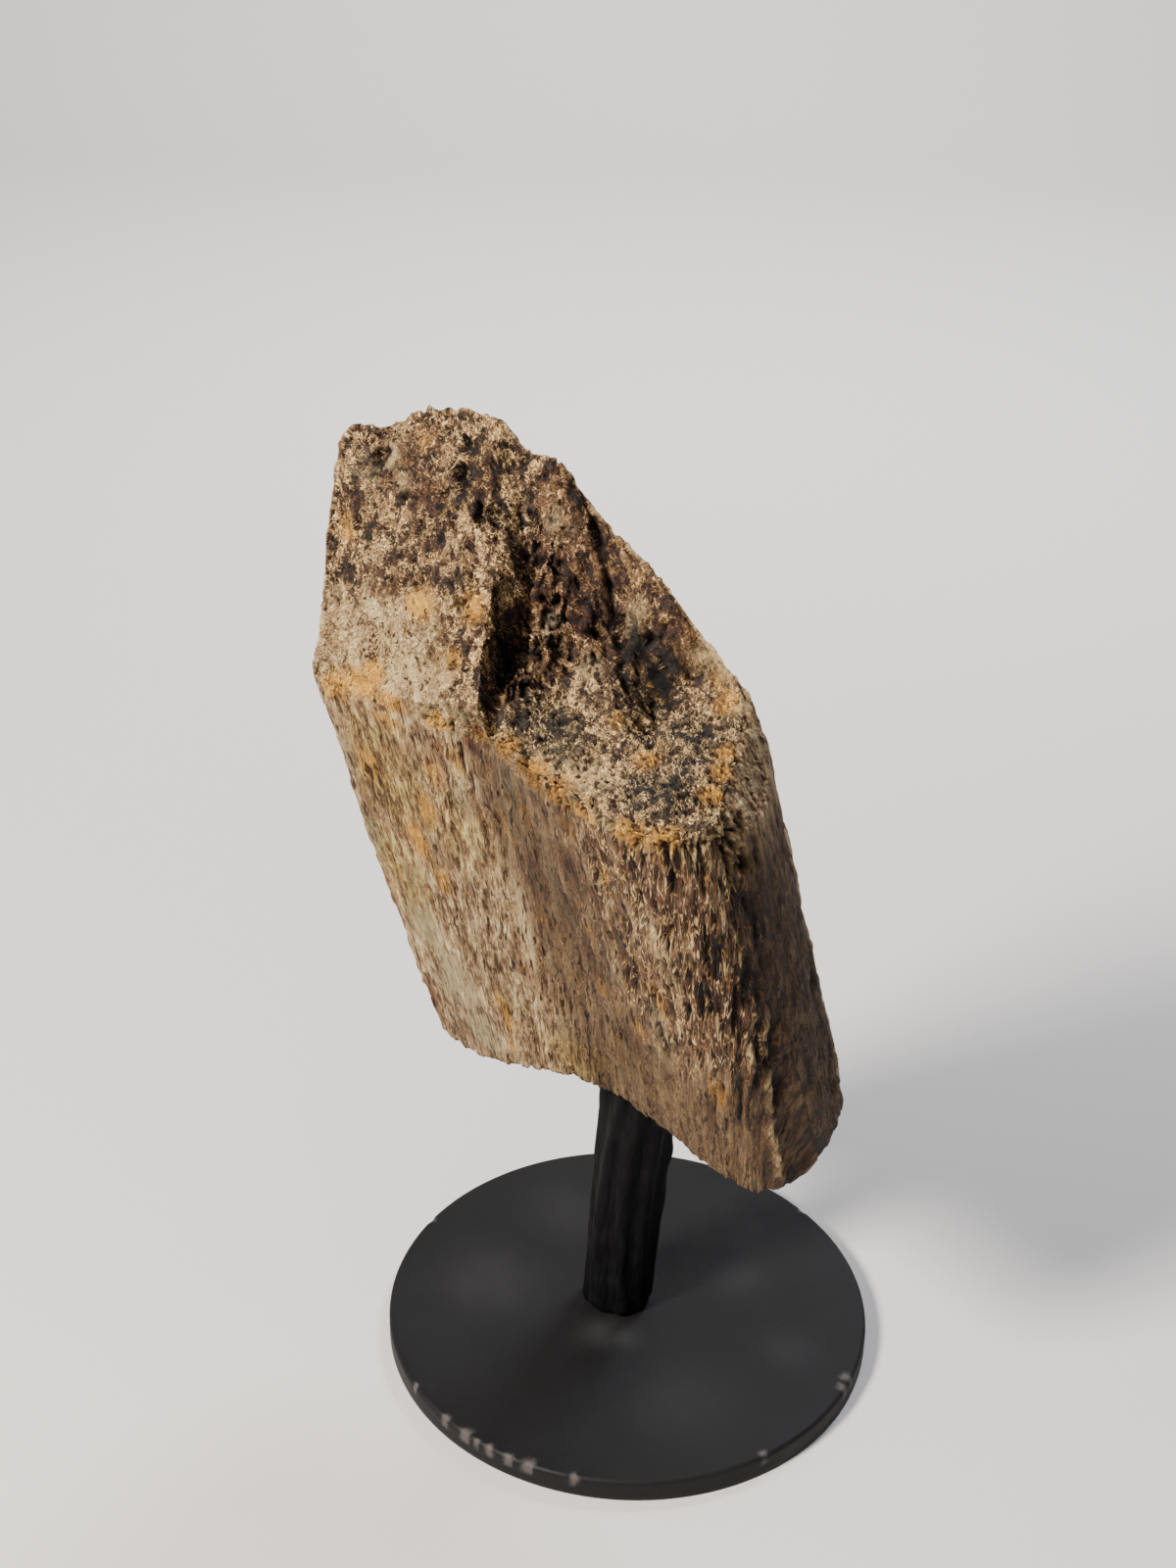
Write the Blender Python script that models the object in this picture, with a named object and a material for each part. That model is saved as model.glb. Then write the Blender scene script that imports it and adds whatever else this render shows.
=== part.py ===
# Fossil rib fragment on a rough post and a thin round disc.
# Lengths at the top are in millimetres and become metres when a mesh is made.
# Origin: the middle of the disc's underside, +Z up, front towards -Y.

import bmesh
import bpy
import numpy as np
from mathutils import Vector

MM = 0.001

# disc
DISC_RADIUS = 45.0
DISC_THICKNESS = 4.5
DISC_EDGE = 0.9
DISC_SIDES = 80

# post: a nearly upright stick that leans a little to the right
POST_RADIUS = 6.3
POST_FOOT = np.array([-2.0, 1.6, 4.8])
POST_HEAD = np.array([1.9, 0.0, 77.0])
POST_FLUTES = 9
POST_FLUTE_DEPTH = 0.32
POST_SIDES = 36
POST_RINGS = 15
CLEARANCE = 0.3

# bone: a prism of rib section, its axis leaning forward and to the left
BONE_FOOT = np.array([4.0, -3.0, 56.0])
LEAN_FORWARD = np.radians(17.0)
LEAN_LEFT = np.radians(14.0)
FACE_YAW = np.radians(-41.0)
BREAK_LEVEL = 15.0
LEDGE_LEVEL = 100.0
SOCKET_CENTRE = (-4.0, 5.0)
COLUMNS = 84
SIDE_RINGS = 16
CAP_RINGS = 21
UNDER_RINGS = 5
SPINE_REACH = 0.86

# relief of the skin and of the two broken ends
FURROW_DEPTH = 0.45
SWELL_DEPTH = 0.45
RIDGE_NOTCH = 1.8
PIT_DEPTH = 0.9
GROOVE_DEPTH = 0.9
END_BEVEL = 7.0
UNDER_CHIP = 6.0
UNDER_RAGGED = 1.1

# Rib section across the axis, anticlockwise from the right end: eight points on
# the back, the left end, then eight points on the broad front face.
SECTION_LOW = [
    (39.6, -3.0), (37.4, 6.0), (31.0, 13.5), (19.5, 17.5), (7.0, 19.0), (-4.0, 18.7),
    (-16.0, 17.0), (-28.0, 14.0), (-38.0, 6.0), (-41.5, -4.0), (-35.0, -14.5),
    (-24.0, -16.0), (-13.0, -13.2), (-3.0, -10.8), (8.0, -10.5), (18.0, -12.4),
    (29.5, -13.5), (37.0, -11.3),
]
SECTION_HIGH = [
    (41.6, -4.0), (39.4, 4.5), (32.6, 12.5), (20.5, 16.5), (8.0, 18.0), (-3.0, 18.0),
    (-14.0, 17.0), (-25.0, 14.5), (-34.0, 8.5), (-38.5, -3.0), (-31.0, -13.0),
    (-21.0, -12.7), (-10.0, -10.8), (0.0, -9.5), (10.0, -11.5), (20.0, -12.7),
    (31.0, -13.8), (38.5, -11.5),
]

# height of the broken back rim, left to right: the lobe, a step, the long fall
RIM_PLACE = [-28.0, -20.0, -9.0, -6.0, 1.0, 4.0, 7.0, 11.0, 18.0, 22.0, 29.0, 33.0, 38.0]
RIM_HEIGHT = [132.8, 135.0, 134.5, 129.5, 129.0, 124.0, 120.0, 116.5, 112.0,
              107.5, 106.0, 102.0, 100.0]

# hollows in the broken top: place across, place through, width, length, depth
HOLLOWS = [
    (-1.0, 0.5, 2.0, 5.0, 4.0),
    (17.0, 8.5, 3.0, 3.2, 6.5),
    (20.5, 5.0, 2.0, 2.2, 3.5),
    (10.5, 11.5, 2.0, 3.0, 3.5),
    (5.0, 7.0, 2.0, 2.4, 2.6),
    (-2.0, 9.0, 2.0, 2.4, 2.6),
    (1.0, 13.0, 1.6, 2.0, 2.0),
    (-12.0, 8.0, 1.8, 1.6, 2.0),
    (-24.0, 4.0, 2.0, 1.8, 1.6),
]


def clear_scene():
    for item in list(bpy.data.objects):
        bpy.data.objects.remove(item, do_unlink=True)


def bone_axes():
    """Unit vectors along the bone, across its broad face, and through it."""
    along = np.array([-np.tan(LEAN_LEFT), -np.tan(LEAN_FORWARD), 1.0])
    along /= np.linalg.norm(along)
    across = np.array([np.cos(FACE_YAW), np.sin(FACE_YAW), 0.0])
    across -= across.dot(along) * along
    across /= np.linalg.norm(across)
    return along, across, np.cross(along, across)


def smooth_step(low, high, value):
    t = np.clip((value - low) / (high - low), 0.0, 1.0)
    return t * t * (3.0 - 2.0 * t)


def rough(x, y, seed):
    """Smooth random surface with one bump per unit, between -1 and 1."""
    size = 64
    knots = np.random.RandomState(seed).uniform(-1.0, 1.0, (size, size))
    column, row = np.floor(x).astype(int), np.floor(y).astype(int)
    s, t = smooth_step(0.0, 1.0, x - column), smooth_step(0.0, 1.0, y - row)
    a, b = column % size, (column + 1) % size
    c, d = row % size, (row + 1) % size
    low = knots[a, c] * (1.0 - s) + knots[b, c] * s
    high = knots[a, d] * (1.0 - s) + knots[b, d] * s
    return low * (1.0 - t) + high * t


def closed_curve(points, count):
    """Catmull-Rom curve through the points, closed on itself."""
    knots = np.array(points)
    place = np.arange(count) * len(knots) / count
    index = np.floor(place).astype(int)
    t = (place - index)[:, None]
    before, start = knots[index - 1], knots[index]
    end, after = knots[(index + 1) % len(knots)], knots[(index + 2) % len(knots)]
    slope_in, slope_out = (end - before) / 2.0, (after - start) / 2.0
    return (start + slope_in * t
            + (3.0 * (end - start) - 2.0 * slope_in - slope_out) * t ** 2
            + (2.0 * (start - end) + slope_in + slope_out) * t ** 3)


def section_at(level):
    """Outline of the bone at each column's own level along the axis."""
    share = ((level - BREAK_LEVEL) / (LEDGE_LEVEL - BREAK_LEVEL))[..., None]
    low, high = closed_curve(SECTION_LOW, COLUMNS), closed_curve(SECTION_HIGH, COLUMNS)
    return low * (1.0 - share) + high * share


def lobe_share(u, v):
    """The tall left part: convex in the middle, falling away at the left end."""
    middle = np.clip((v + 12.0) / 29.0, 0.0, 1.0) ** 0.8
    end = smooth_step(-6.0, 12.0, v)
    fade = smooth_step(-22.0, -36.0, u)
    return middle * (1.0 - fade) + end * fade


def ledge_share(u, v):
    """The low right part: a flat terrace, then a hollow slope up to the back rim."""
    start = 1.0 + 7.5 * smooth_step(16.0, 24.0, u)
    bend = 0.95 + 0.6 * smooth_step(2.0, 14.0, u)
    return np.clip((v - start) / (17.0 - start), 0.0, 1.0) ** bend


def top_height(u, v):
    """Broken top of the bone as a height along the axis."""
    rim = np.interp(u, RIM_PLACE, RIM_HEIGHT) - LEDGE_LEVEL
    flank = u + 1.2 * rough(v / 4.0, u / 9.0, 3)
    lobe = smooth_step(0.0, -3.5 - 0.4 * np.clip(v, 0.0, 14.0), flank)
    share = lobe * lobe_share(u, v) + (1.0 - lobe) * ledge_share(u, v)
    bevel = smooth_step(0.0, 4.5, u + 0.48 * v - 37.0)
    height = LEDGE_LEVEL + rim * share - END_BEVEL * bevel
    for across, through, width, length, depth in HOLLOWS:
        height -= depth * np.exp(-((u - across) / width) ** 2 - ((v - through) / length) ** 2)
    steep = smooth_step(102.0, 112.0, height)
    grooves = np.sin(u * 1.9 + 0.8 * np.sin(v * 0.3)) * (1.0 - lobe) * steep
    pits = rough(u / 2.6, v / 2.6, 5) + 0.6 * rough(u / 1.4, v / 1.4, 6)
    return height + GROOVE_DEPTH * grooves + PIT_DEPTH * (0.45 + 0.55 * steep) * pits


def under_height(u, v):
    """Ragged lower break, nearly square to the axis, chipped at the left end."""
    chip = UNDER_CHIP * smooth_step(-33.0, -42.0, u)
    droop = 1.8 * np.exp(-((u + 25.0) / 8.0) ** 2) + 1.6 * np.exp(-((u - 34.0) / 5.0) ** 2)
    ragged = rough(u / 4.5 + 7.0, v / 6.0, 11) + 0.45 * rough(u / 1.9, v / 1.9, 12)
    return BREAK_LEVEL + chip - droop + UNDER_RAGGED * ragged


def side_relief(level):
    """How far the side stands in or out: furrows along the grain and a worn ridge."""
    column = np.arange(COLUMNS)[None, :] * np.ones_like(level)
    furrows = rough(column * 0.71, level / 26.0, 21)
    swell = rough(column / 8.0, level / 30.0, 22)
    ridge = COLUMNS * 17.0 / 18.0
    notch = np.exp(-((column - ridge) / 1.5) ** 2 - ((level - 94.0) / 5.5) ** 2)
    return FURROW_DEPTH * furrows + SWELL_DEPTH * swell - RIDGE_NOTCH * notch


def rim_levels(height_function):
    """Level at which each column of the side meets a broken end."""
    level = np.full(COLUMNS, (BREAK_LEVEL + LEDGE_LEVEL) / 2.0)
    for _ in range(6):
        outline = section_at(level)
        level = height_function(outline[:, 0], outline[:, 1])
    return level


def spine_of(outline):
    """Points on the middle line that opposite columns share."""
    mirror = outline[(-np.arange(COLUMNS)) % COLUMNS]
    middle = (outline + mirror) / 2.0
    return middle * np.array([SPINE_REACH, 1.0])


def push_out(outline, amount):
    """Move an outline along its own outward normal."""
    tangent = np.roll(outline, -1, axis=-2) - np.roll(outline, 1, axis=-2)
    normal = np.stack([tangent[..., 1], -tangent[..., 0]], axis=-1)
    normal /= np.linalg.norm(normal, axis=-1, keepdims=True)
    return outline + normal * amount[..., None]


def bone_rings():
    """Rings of points from the socket roof, round the bone, to the top's middle line."""
    along, across, through = bone_axes()
    frame = np.stack([across, through, along])

    low, high = rim_levels(under_height), rim_levels(top_height)
    share = np.linspace(0.0, 1.0, SIDE_RINGS)[:, None]
    levels = low + (high - low) * share
    fade = np.sin(np.pi * np.clip(share, 0.04, 0.96)) ** 0.3
    sides = np.array([section_at(level) for level in levels])
    sides = push_out(sides, side_relief(levels) * fade)

    top_rim, spine = sides[-1], spine_of(sides[-1])
    inward = np.linspace(1.0, 0.0, CAP_RINGS + 1)[1:, None, None]
    top = spine + (top_rim - spine) * inward
    top_levels = top_height(top[..., 0], top[..., 1])

    post_line = (POST_HEAD - POST_FOOT) / np.linalg.norm(POST_HEAD - POST_FOOT)
    turn = np.arctan2(sides[0][:, 1] - SOCKET_CENTRE[1], sides[0][:, 0] - SOCKET_CENTRE[0])
    spoke = np.cos(turn)[:, None] * across + np.sin(turn)[:, None] * through
    spoke -= (spoke @ post_line)[:, None] * post_line
    spoke /= np.linalg.norm(spoke, axis=1, keepdims=True)
    bore = spoke * (POST_RADIUS + POST_FLUTE_DEPTH + CLEARANCE)
    roof = POST_HEAD + post_line * CLEARANCE
    wall = POST_HEAD + bore - BONE_FOOT
    drop = (wall @ along - BREAK_LEVEL) / (post_line @ along)
    mouth = (wall - drop[:, None] * post_line) @ frame.T
    outward = np.linspace(0.0, 1.0, UNDER_RINGS + 1)[:-1, None, None]
    under = mouth[:, :2] + (sides[0] - mouth[:, :2]) * outward
    under_levels = under_height(under[..., 0], under[..., 1])
    under_levels = BREAK_LEVEL + (under_levels - BREAK_LEVEL) * smooth_step(0.0, 0.5, outward[..., 0])

    flat = np.concatenate([under, sides, top])
    height = np.concatenate([under_levels, levels, top_levels])[..., None]
    body = BONE_FOOT + np.concatenate([flat, height], axis=-1) @ frame
    return roof, roof + bore, body


def bone_mesh():
    """One closed skin: socket roof fan, socket wall, underside, sides, top, seam."""
    roof, roof_ring, body = bone_rings()
    rings = np.concatenate([roof_ring[None], body])
    count, half = len(rings), COLUMNS // 2
    points = [roof] + [p for ring in rings[:-1] for p in ring] + list(rings[-1][:half + 1])

    def index(ring, column):
        column %= COLUMNS
        if ring == count - 1:
            column = min(column, COLUMNS - column)
        return 1 + ring * COLUMNS + column

    faces = [(0, index(0, j + 1), index(0, j)) for j in range(COLUMNS)]
    for ring in range(count - 1):
        for j in range(COLUMNS):
            a, b = index(ring, j), index(ring, j + 1)
            c, d = index(ring + 1, j + 1), index(ring + 1, j)
            faces.append((a, b, c) if c == d else (a, b, c, d))
    return points, faces


def post_mesh():
    """A fluted stick: rounded foot, wandering flutes, flat head inside the bone."""
    line = POST_HEAD - POST_FOOT
    height = np.linalg.norm(line)
    line = line / height
    side = np.cross(line, [0.0, 1.0, 0.0])
    side /= np.linalg.norm(side)
    front = np.cross(line, side)
    turn = np.linspace(0.0, 2.0 * np.pi, POST_SIDES, endpoint=False)
    rise = np.concatenate([[0.0, 0.6, 1.8], np.linspace(4.0, height, POST_RINGS)])
    taper = np.interp(rise, [0.0, 0.6, 1.8, 4.0], [0.80, 0.90, 0.97, 1.0])
    rings = []
    for h, scale in zip(rise, taper):
        twist = 0.35 * np.sin(h / 17.0)
        flutes = np.cos(POST_FLUTES * turn + twist * POST_FLUTES)
        knots = rough(turn * 10.0 / (2.0 * np.pi), h / 14.0 + 0.0 * turn, 31)
        knots *= smooth_step(0.0, 0.5, np.minimum(turn, 2.0 * np.pi - turn))
        radius = (POST_RADIUS + POST_FLUTE_DEPTH * (0.6 * flutes + 0.4 * knots)) * scale
        spoke = np.cos(turn)[:, None] * side + np.sin(turn)[:, None] * front
        rings.append(POST_FOOT + line * h + spoke * radius[:, None])
    points = [POST_FOOT] + [p for ring in rings for p in ring] + [POST_HEAD]
    last = len(points) - 1
    faces = []
    for j in range(POST_SIDES):
        k = (j + 1) % POST_SIDES
        faces.append((0, 1 + k, 1 + j))
        for ring in range(len(rings) - 1):
            low, high = 1 + ring * POST_SIDES, 1 + (ring + 1) * POST_SIDES
            faces.append((low + j, low + k, high + k, high + j))
        top = 1 + (len(rings) - 1) * POST_SIDES
        faces.append((top + j, top + k, last))
    return points, faces


def make_material(name, color, roughness):
    material = bpy.data.materials.new(name)
    material.use_nodes = True
    shader = material.node_tree.nodes["Principled BSDF"]
    shader.inputs["Base Color"].default_value = (*color, 1.0)
    shader.inputs["Roughness"].default_value = roughness
    shader.inputs["Metallic"].default_value = 0.0
    return material


def add_object(name, points, faces, material):
    mesh = bpy.data.meshes.new(name)
    mesh.from_pydata([Vector(p) * MM for p in points], [], faces)
    build = bmesh.new()
    build.from_mesh(mesh)
    bmesh.ops.triangulate(build, faces=build.faces[:])
    bmesh.ops.recalc_face_normals(build, faces=build.faces[:])
    build.to_mesh(mesh)
    build.free()
    mesh.shade_smooth()
    mesh.materials.append(material)
    item = bpy.data.objects.new(name, mesh)
    bpy.context.scene.collection.objects.link(item)
    return item


def make_base():
    """The disc: a turned profile with a rounded top edge and a small lower chamfer."""
    edge = np.radians(np.linspace(90.0, 0.0, 4))
    inner, top = DISC_RADIUS - DISC_EDGE, DISC_THICKNESS - DISC_EDGE
    profile = [(DISC_RADIUS - 0.4, 0.0), (DISC_RADIUS, 0.4)]
    profile += [(inner + DISC_EDGE * np.cos(a), top + DISC_EDGE * np.sin(a)) for a in edge[::-1]]
    turn = np.linspace(0.0, 2.0 * np.pi, DISC_SIDES, endpoint=False)
    points = [(r * np.cos(a), r * np.sin(a), z) for r, z in profile for a in turn]
    faces = [tuple(range(DISC_SIDES))[::-1]]
    for ring in range(len(profile) - 1):
        for j in range(DISC_SIDES):
            k, low, high = (j + 1) % DISC_SIDES, ring * DISC_SIDES, (ring + 1) * DISC_SIDES
            faces.append((low + j, low + k, high + k, high + j))
    faces.append(tuple(range((len(profile) - 1) * DISC_SIDES, len(profile) * DISC_SIDES)))
    return add_object("base", points, faces, make_material("black disc", (0.021, 0.021, 0.023), 0.55))


def make_post():
    return add_object("post", *post_mesh(), make_material("black post", (0.012, 0.012, 0.013), 0.6))


def make_bone():
    return add_object("rib_fragment", *bone_mesh(), make_material("fossil bone", (0.32, 0.22, 0.12), 0.75))


clear_scene()
make_base()
make_post()
make_bone()
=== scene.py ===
# Fossil rib fragment on a rough black post and a thin black steel disc.
# Lengths are in millimetres in the code and become metres when a mesh is made.
import math

import bpy
import numpy as np
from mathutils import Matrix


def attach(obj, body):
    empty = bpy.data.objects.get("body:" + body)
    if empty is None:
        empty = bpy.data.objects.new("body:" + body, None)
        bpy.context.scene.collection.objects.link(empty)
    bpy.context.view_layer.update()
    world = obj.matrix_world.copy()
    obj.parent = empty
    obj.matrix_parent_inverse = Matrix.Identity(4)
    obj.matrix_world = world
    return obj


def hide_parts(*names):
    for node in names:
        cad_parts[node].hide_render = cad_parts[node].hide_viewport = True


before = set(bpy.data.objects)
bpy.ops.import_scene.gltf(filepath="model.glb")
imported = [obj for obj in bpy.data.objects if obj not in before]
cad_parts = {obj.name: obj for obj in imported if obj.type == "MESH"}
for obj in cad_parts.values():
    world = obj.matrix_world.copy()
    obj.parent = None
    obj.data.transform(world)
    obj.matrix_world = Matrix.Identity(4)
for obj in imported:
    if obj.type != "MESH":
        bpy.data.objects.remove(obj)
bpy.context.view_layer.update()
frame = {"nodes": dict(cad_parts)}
millimetre = 0.001
print("frame loaded:", ", ".join(frame["nodes"]))


# small tools

def linearColor(code):
    # sRGB hex to linear: below 0.04045 divide by 12.92, above it ((c + 0.055) / 1.055) to the power 2.4
    values = [int(code[i:i + 2], 16) / 255.0 for i in (1, 3, 5)]
    return [c / 12.92 if c <= 0.04045 else ((c + 0.055) / 1.055) ** 2.4 for c in values] + [1.0]


def smoothStep(low, high, value):
    # t squared times (3 - 2t), where t is how far value is from low to high
    t = np.clip((value - low) / (high - low), 0.0, 1.0)
    return t * t * (3.0 - 2.0 * t)


def hill(value, middle, width):
    # bell curve: e to the minus squared distance over width
    return np.exp(-((value - middle) / width) ** 2)


def roughField(x, y, seed):
    # random knots one unit apart on a plane, blended with smoothStep along x and along y
    size = 64
    knots = np.random.RandomState(seed).uniform(-1.0, 1.0, (size, size))
    column, row = np.floor(x).astype(int), np.floor(y).astype(int)
    s, t = smoothStep(0.0, 1.0, x - column), smoothStep(0.0, 1.0, y - row)
    a, b, c, d = column % size, (column + 1) % size, row % size, (row + 1) % size
    low = knots[a, c] * (1.0 - s) + knots[b, c] * s
    high = knots[a, d] * (1.0 - s) + knots[b, d] * s
    return low * (1.0 - t) + high * t


def noiseField(points, seed, octaves=1):
    # random knots on a lattice in space, blended along x, y and z; each octave is twice as fine
    # and half as strong
    size = 32
    knots = np.random.RandomState(seed).uniform(-1.0, 1.0, (size, size, size))
    total = np.zeros(points.shape[:-1])
    for octave in range(octaves):
        place = points * 2.0 ** octave + 7.3 * octave
        cell = np.floor(place).astype(int)
        part = smoothStep(0.0, 1.0, place - cell)
        for corner in np.ndindex(2, 2, 2):
            weight = np.prod(np.where(np.array(corner) == 1, part, 1.0 - part), axis=-1)
            index = (cell + corner) % size
            total += 0.5 ** octave * weight * knots[index[..., 0], index[..., 1], index[..., 2]]
    return total


def cellField(points, seed):
    # one random point in each unit cell of space: distance to the nearest, the gap to the second
    # nearest (zero on the walls between cells), and the nearest one's own random number
    size = 32
    random = np.random.RandomState(seed)
    jitter = random.uniform(0.08, 0.92, (size, size, size, 3))
    own = random.uniform(0.0, 1.0, (size, size, size))
    cell = np.floor(points).astype(int)
    first = np.full(points.shape[:-1], 9.0)
    second, mark = first.copy(), np.zeros_like(first)
    for corner in np.ndindex(3, 3, 3):
        near = cell + np.array(corner) - 1
        key = tuple(np.moveaxis(near % size, -1, 0))
        gap = np.linalg.norm(near + jitter[key] - points, axis=-1)
        closer = gap < first
        second = np.where(closer, first, np.minimum(second, gap))
        mark = np.where(closer, own[key], mark)
        first = np.where(closer, gap, first)
    return first, second - first, mark


def spotMask(points, spots):
    # each spot is a soft egg: strength times e to the minus squared distance, over its width and length
    mask = np.zeros(points.shape[:-1])
    for u, v, s, wide, long, strength in spots:
        gap = ((points[..., 0] - u) ** 2 + (points[..., 1] - v) ** 2) / wide ** 2
        gap = gap + (points[..., 2] - s) ** 2 / long ** 2
        mask = np.maximum(mask, strength * np.exp(-gap))
    return mask


def ringFaces(index):
    # four corners for each cell between one ring of points and the next, closed round
    far = np.roll(index, -1, axis=1)
    return np.stack([index[:-1], far[:-1], far[1:], index[1:]], -1).reshape(-1, 4), far


def closeEnds(points, layer, ends, endLayers):
    # rings of points with a fan round one more point at the bottom and at the top
    rings, columns = points.shape[:2]
    index = np.arange(rings * columns).reshape(rings, columns)
    faces, far = ringFaces(index)
    low, high = np.full(columns, rings * columns), np.full(columns, rings * columns + 1)
    bottom = np.stack([low, far[0], index[0], index[0]], -1)
    top = np.stack([high, index[-1], far[-1], far[-1]], -1)
    return (np.concatenate([points.reshape(-1, 3), ends]),
            np.concatenate([faces, bottom, top]),
            np.concatenate([layer.reshape(-1, layer.shape[-1]), endLayers]))


def makeMesh(name, points, faces, attributes, material):
    # points in millimetres; faces as rows of four corners, with the last repeated in the
    # triangles, which come after all the others
    mesh = bpy.data.meshes.new(name)
    pointed = faces[:, 3] == faces[:, 2]
    corners = faces[~pointed].tolist() + faces[pointed][:, :3].tolist()
    mesh.from_pydata((points * millimetre).tolist(), [], corners)
    for title, values in attributes.items():
        if values.shape[1] == 3:
            layer = mesh.attributes.new(title, "FLOAT_VECTOR", "POINT")
            layer.data.foreach_set("vector", values.astype(np.float32).ravel())
        else:
            layer = mesh.attributes.new(title, "FLOAT_COLOR", "POINT")
            layer.data.foreach_set("color", values.astype(np.float32).ravel())
    mesh.shade_smooth()
    mesh.materials.append(material)
    piece = bpy.data.objects.new(name, mesh)
    bpy.context.scene.collection.objects.link(piece)
    return piece


def fillInputs(tree, node, inputs):
    # an output of another node is linked in, anything else becomes the input's constant
    for key, value in inputs.items():
        if isinstance(value, bpy.types.NodeSocket):
            tree.links.new(value, node.inputs[key])
        else:
            node.inputs[key].default_value = value


def newMaterial(name):
    # a material with one principled shader
    material = bpy.data.materials.new(name)
    material.use_nodes = True
    return material, material.node_tree, material.node_tree.nodes["Principled BSDF"]


def addNode(tree, kind, settings, inputs, out=0):
    # adds a node, sets its settings, fills each input with a value or a link, and gives one output
    node = tree.nodes.new(kind)
    for key, value in settings.items():
        if key == "stops":
            for place, code in value[1:-1]:
                node.color_ramp.elements.new(place)
            for element, (place, code) in zip(node.color_ramp.elements, value):
                element.position, element.color = place, linearColor(code)
        else:
            setattr(node, key, value)
    fillInputs(tree, node, inputs)
    return node.outputs[out]


# kinds of node that come often, each with its settings
multiply = ("ShaderNodeMath", {"operation": "MULTIPLY"})
multiplyAdd = ("ShaderNodeMath", {"operation": "MULTIPLY_ADD"})
highest = ("ShaderNodeMath", {"operation": "MAXIMUM"})
stretch = ("ShaderNodeVectorMath", {"operation": "MULTIPLY"})
mixValues = ("ShaderNodeMix", {})
mixColors = ("ShaderNodeMix", {"data_type": "RGBA"})
tintColors = ("ShaderNodeMix", {"data_type": "RGBA", "blend_type": "MULTIPLY"})
softNoise = ("ShaderNodeTexNoise", {})
moveRange = ("ShaderNodeMapRange", {})
softRange = ("ShaderNodeMapRange", {"interpolation_type": "SMOOTHSTEP"})


# camera, floor and light

cameraSet = {
    # the turn is in degrees
    "place": (-9.609, -313.502, 290.712),
    "turn": (60.933, -1.0894, 0.6055),
    "lens": 50.0, "filmHeight": 36.0,
}


def makeCamera():
    data = bpy.data.cameras.new("camera")
    data.lens, data.sensor_height = cameraSet["lens"], cameraSet["filmHeight"]
    data.sensor_fit = "VERTICAL"
    data.clip_start = 10.0 * millimetre
    camera = bpy.data.objects.new("camera", data)
    camera.location = [c * millimetre for c in cameraSet["place"]]
    camera.rotation_euler = [math.radians(a) for a in cameraSet["turn"]]
    bpy.context.scene.collection.objects.link(camera)
    bpy.context.scene.camera = camera


studio = {
    "floorColor": "#d4d2cf",
    "floorHalf": 1600.0,
    "backdropBehind": 900.0, "backdropBend": 300.0,
    "worldColor": "#c9cbd0",
    "worldStrength": 0.15,
    # name, place, aim, size, power in watts, colour
    "lights": [
        ("windowLight", (-540.0, -430.0, 640.0), (0.0, 0.0, 110.0), 200.0, 20.5, "#fff5ea"),
        ("ceilingFill", (-60.0, -260.0, 900.0), (0.0, 0.0, 60.0), 500.0, 2.2, "#f4f4f8"),
        ("backFill", (420.0, 560.0, 900.0), (0.0, 0.0, 110.0), 300.0, 8.0, "#f0f3ff"),
        ("wallLight", (0.0, 450.0, 700.0), (100.0, 1150.0, 250.0), 500.0, 8.0, "#ffffff"),
    ],
}


def makeStudio():
    # backdrop paper, pulled smooth: pale and matt, so that it only carries soft shadows
    material, tree, shader = newMaterial("pale studio paper")
    fillInputs(tree, shader, {"Base Color": linearColor(studio["floorColor"]), "Roughness": 0.9})
    # floor that bends up behind into a wall: y runs back, then the height follows a quarter circle
    half, behind, bend = studio["floorHalf"], studio["backdropBehind"], studio["backdropBend"]
    arc = np.radians(np.linspace(0.0, 90.0, 13))
    y = np.concatenate([[-half], behind + bend * np.sin(arc), [behind + bend]])
    z = np.concatenate([[0.0], bend * (1.0 - np.cos(arc)), [2.0 * half]])
    points = np.stack([np.repeat([[-half], [half]], len(y), 1), np.stack([y, y]), np.stack([z, z])], -1)
    index = np.arange(2 * len(y)).reshape(2, -1)
    faces = np.stack([index[0, :-1], index[1, :-1], index[1, 1:], index[0, 1:]], -1)
    floor = makeMesh("studioFloor", points.reshape(-1, 3), faces, {}, material)

    world = bpy.data.worlds.new("studioAir")
    world.use_nodes = True
    air = world.node_tree.nodes["Background"]
    air.inputs["Color"].default_value = linearColor(studio["worldColor"])
    air.inputs["Strength"].default_value = studio["worldStrength"]
    bpy.context.scene.world = world
    for name, place, aim, size, power, code in studio["lights"]:
        data = bpy.data.lights.new(name, "AREA")
        data.shape, data.size, data.energy = "DISK", size * millimetre, power
        data.color = linearColor(code)[:3]
        lamp = bpy.data.objects.new(name, data)
        place, aim = np.array(place) * millimetre, np.array(aim) * millimetre
        lamp.location = place
        away = place - aim
        flat = math.hypot(away[0], away[1])
        lamp.rotation_euler = (math.atan2(flat, away[2]), 0.0, math.atan2(away[0], -away[1]))
        bpy.context.scene.collection.objects.link(lamp)


makeCamera()
makeStudio()
print("camera, floor and light made")


# rib fragment

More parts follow.
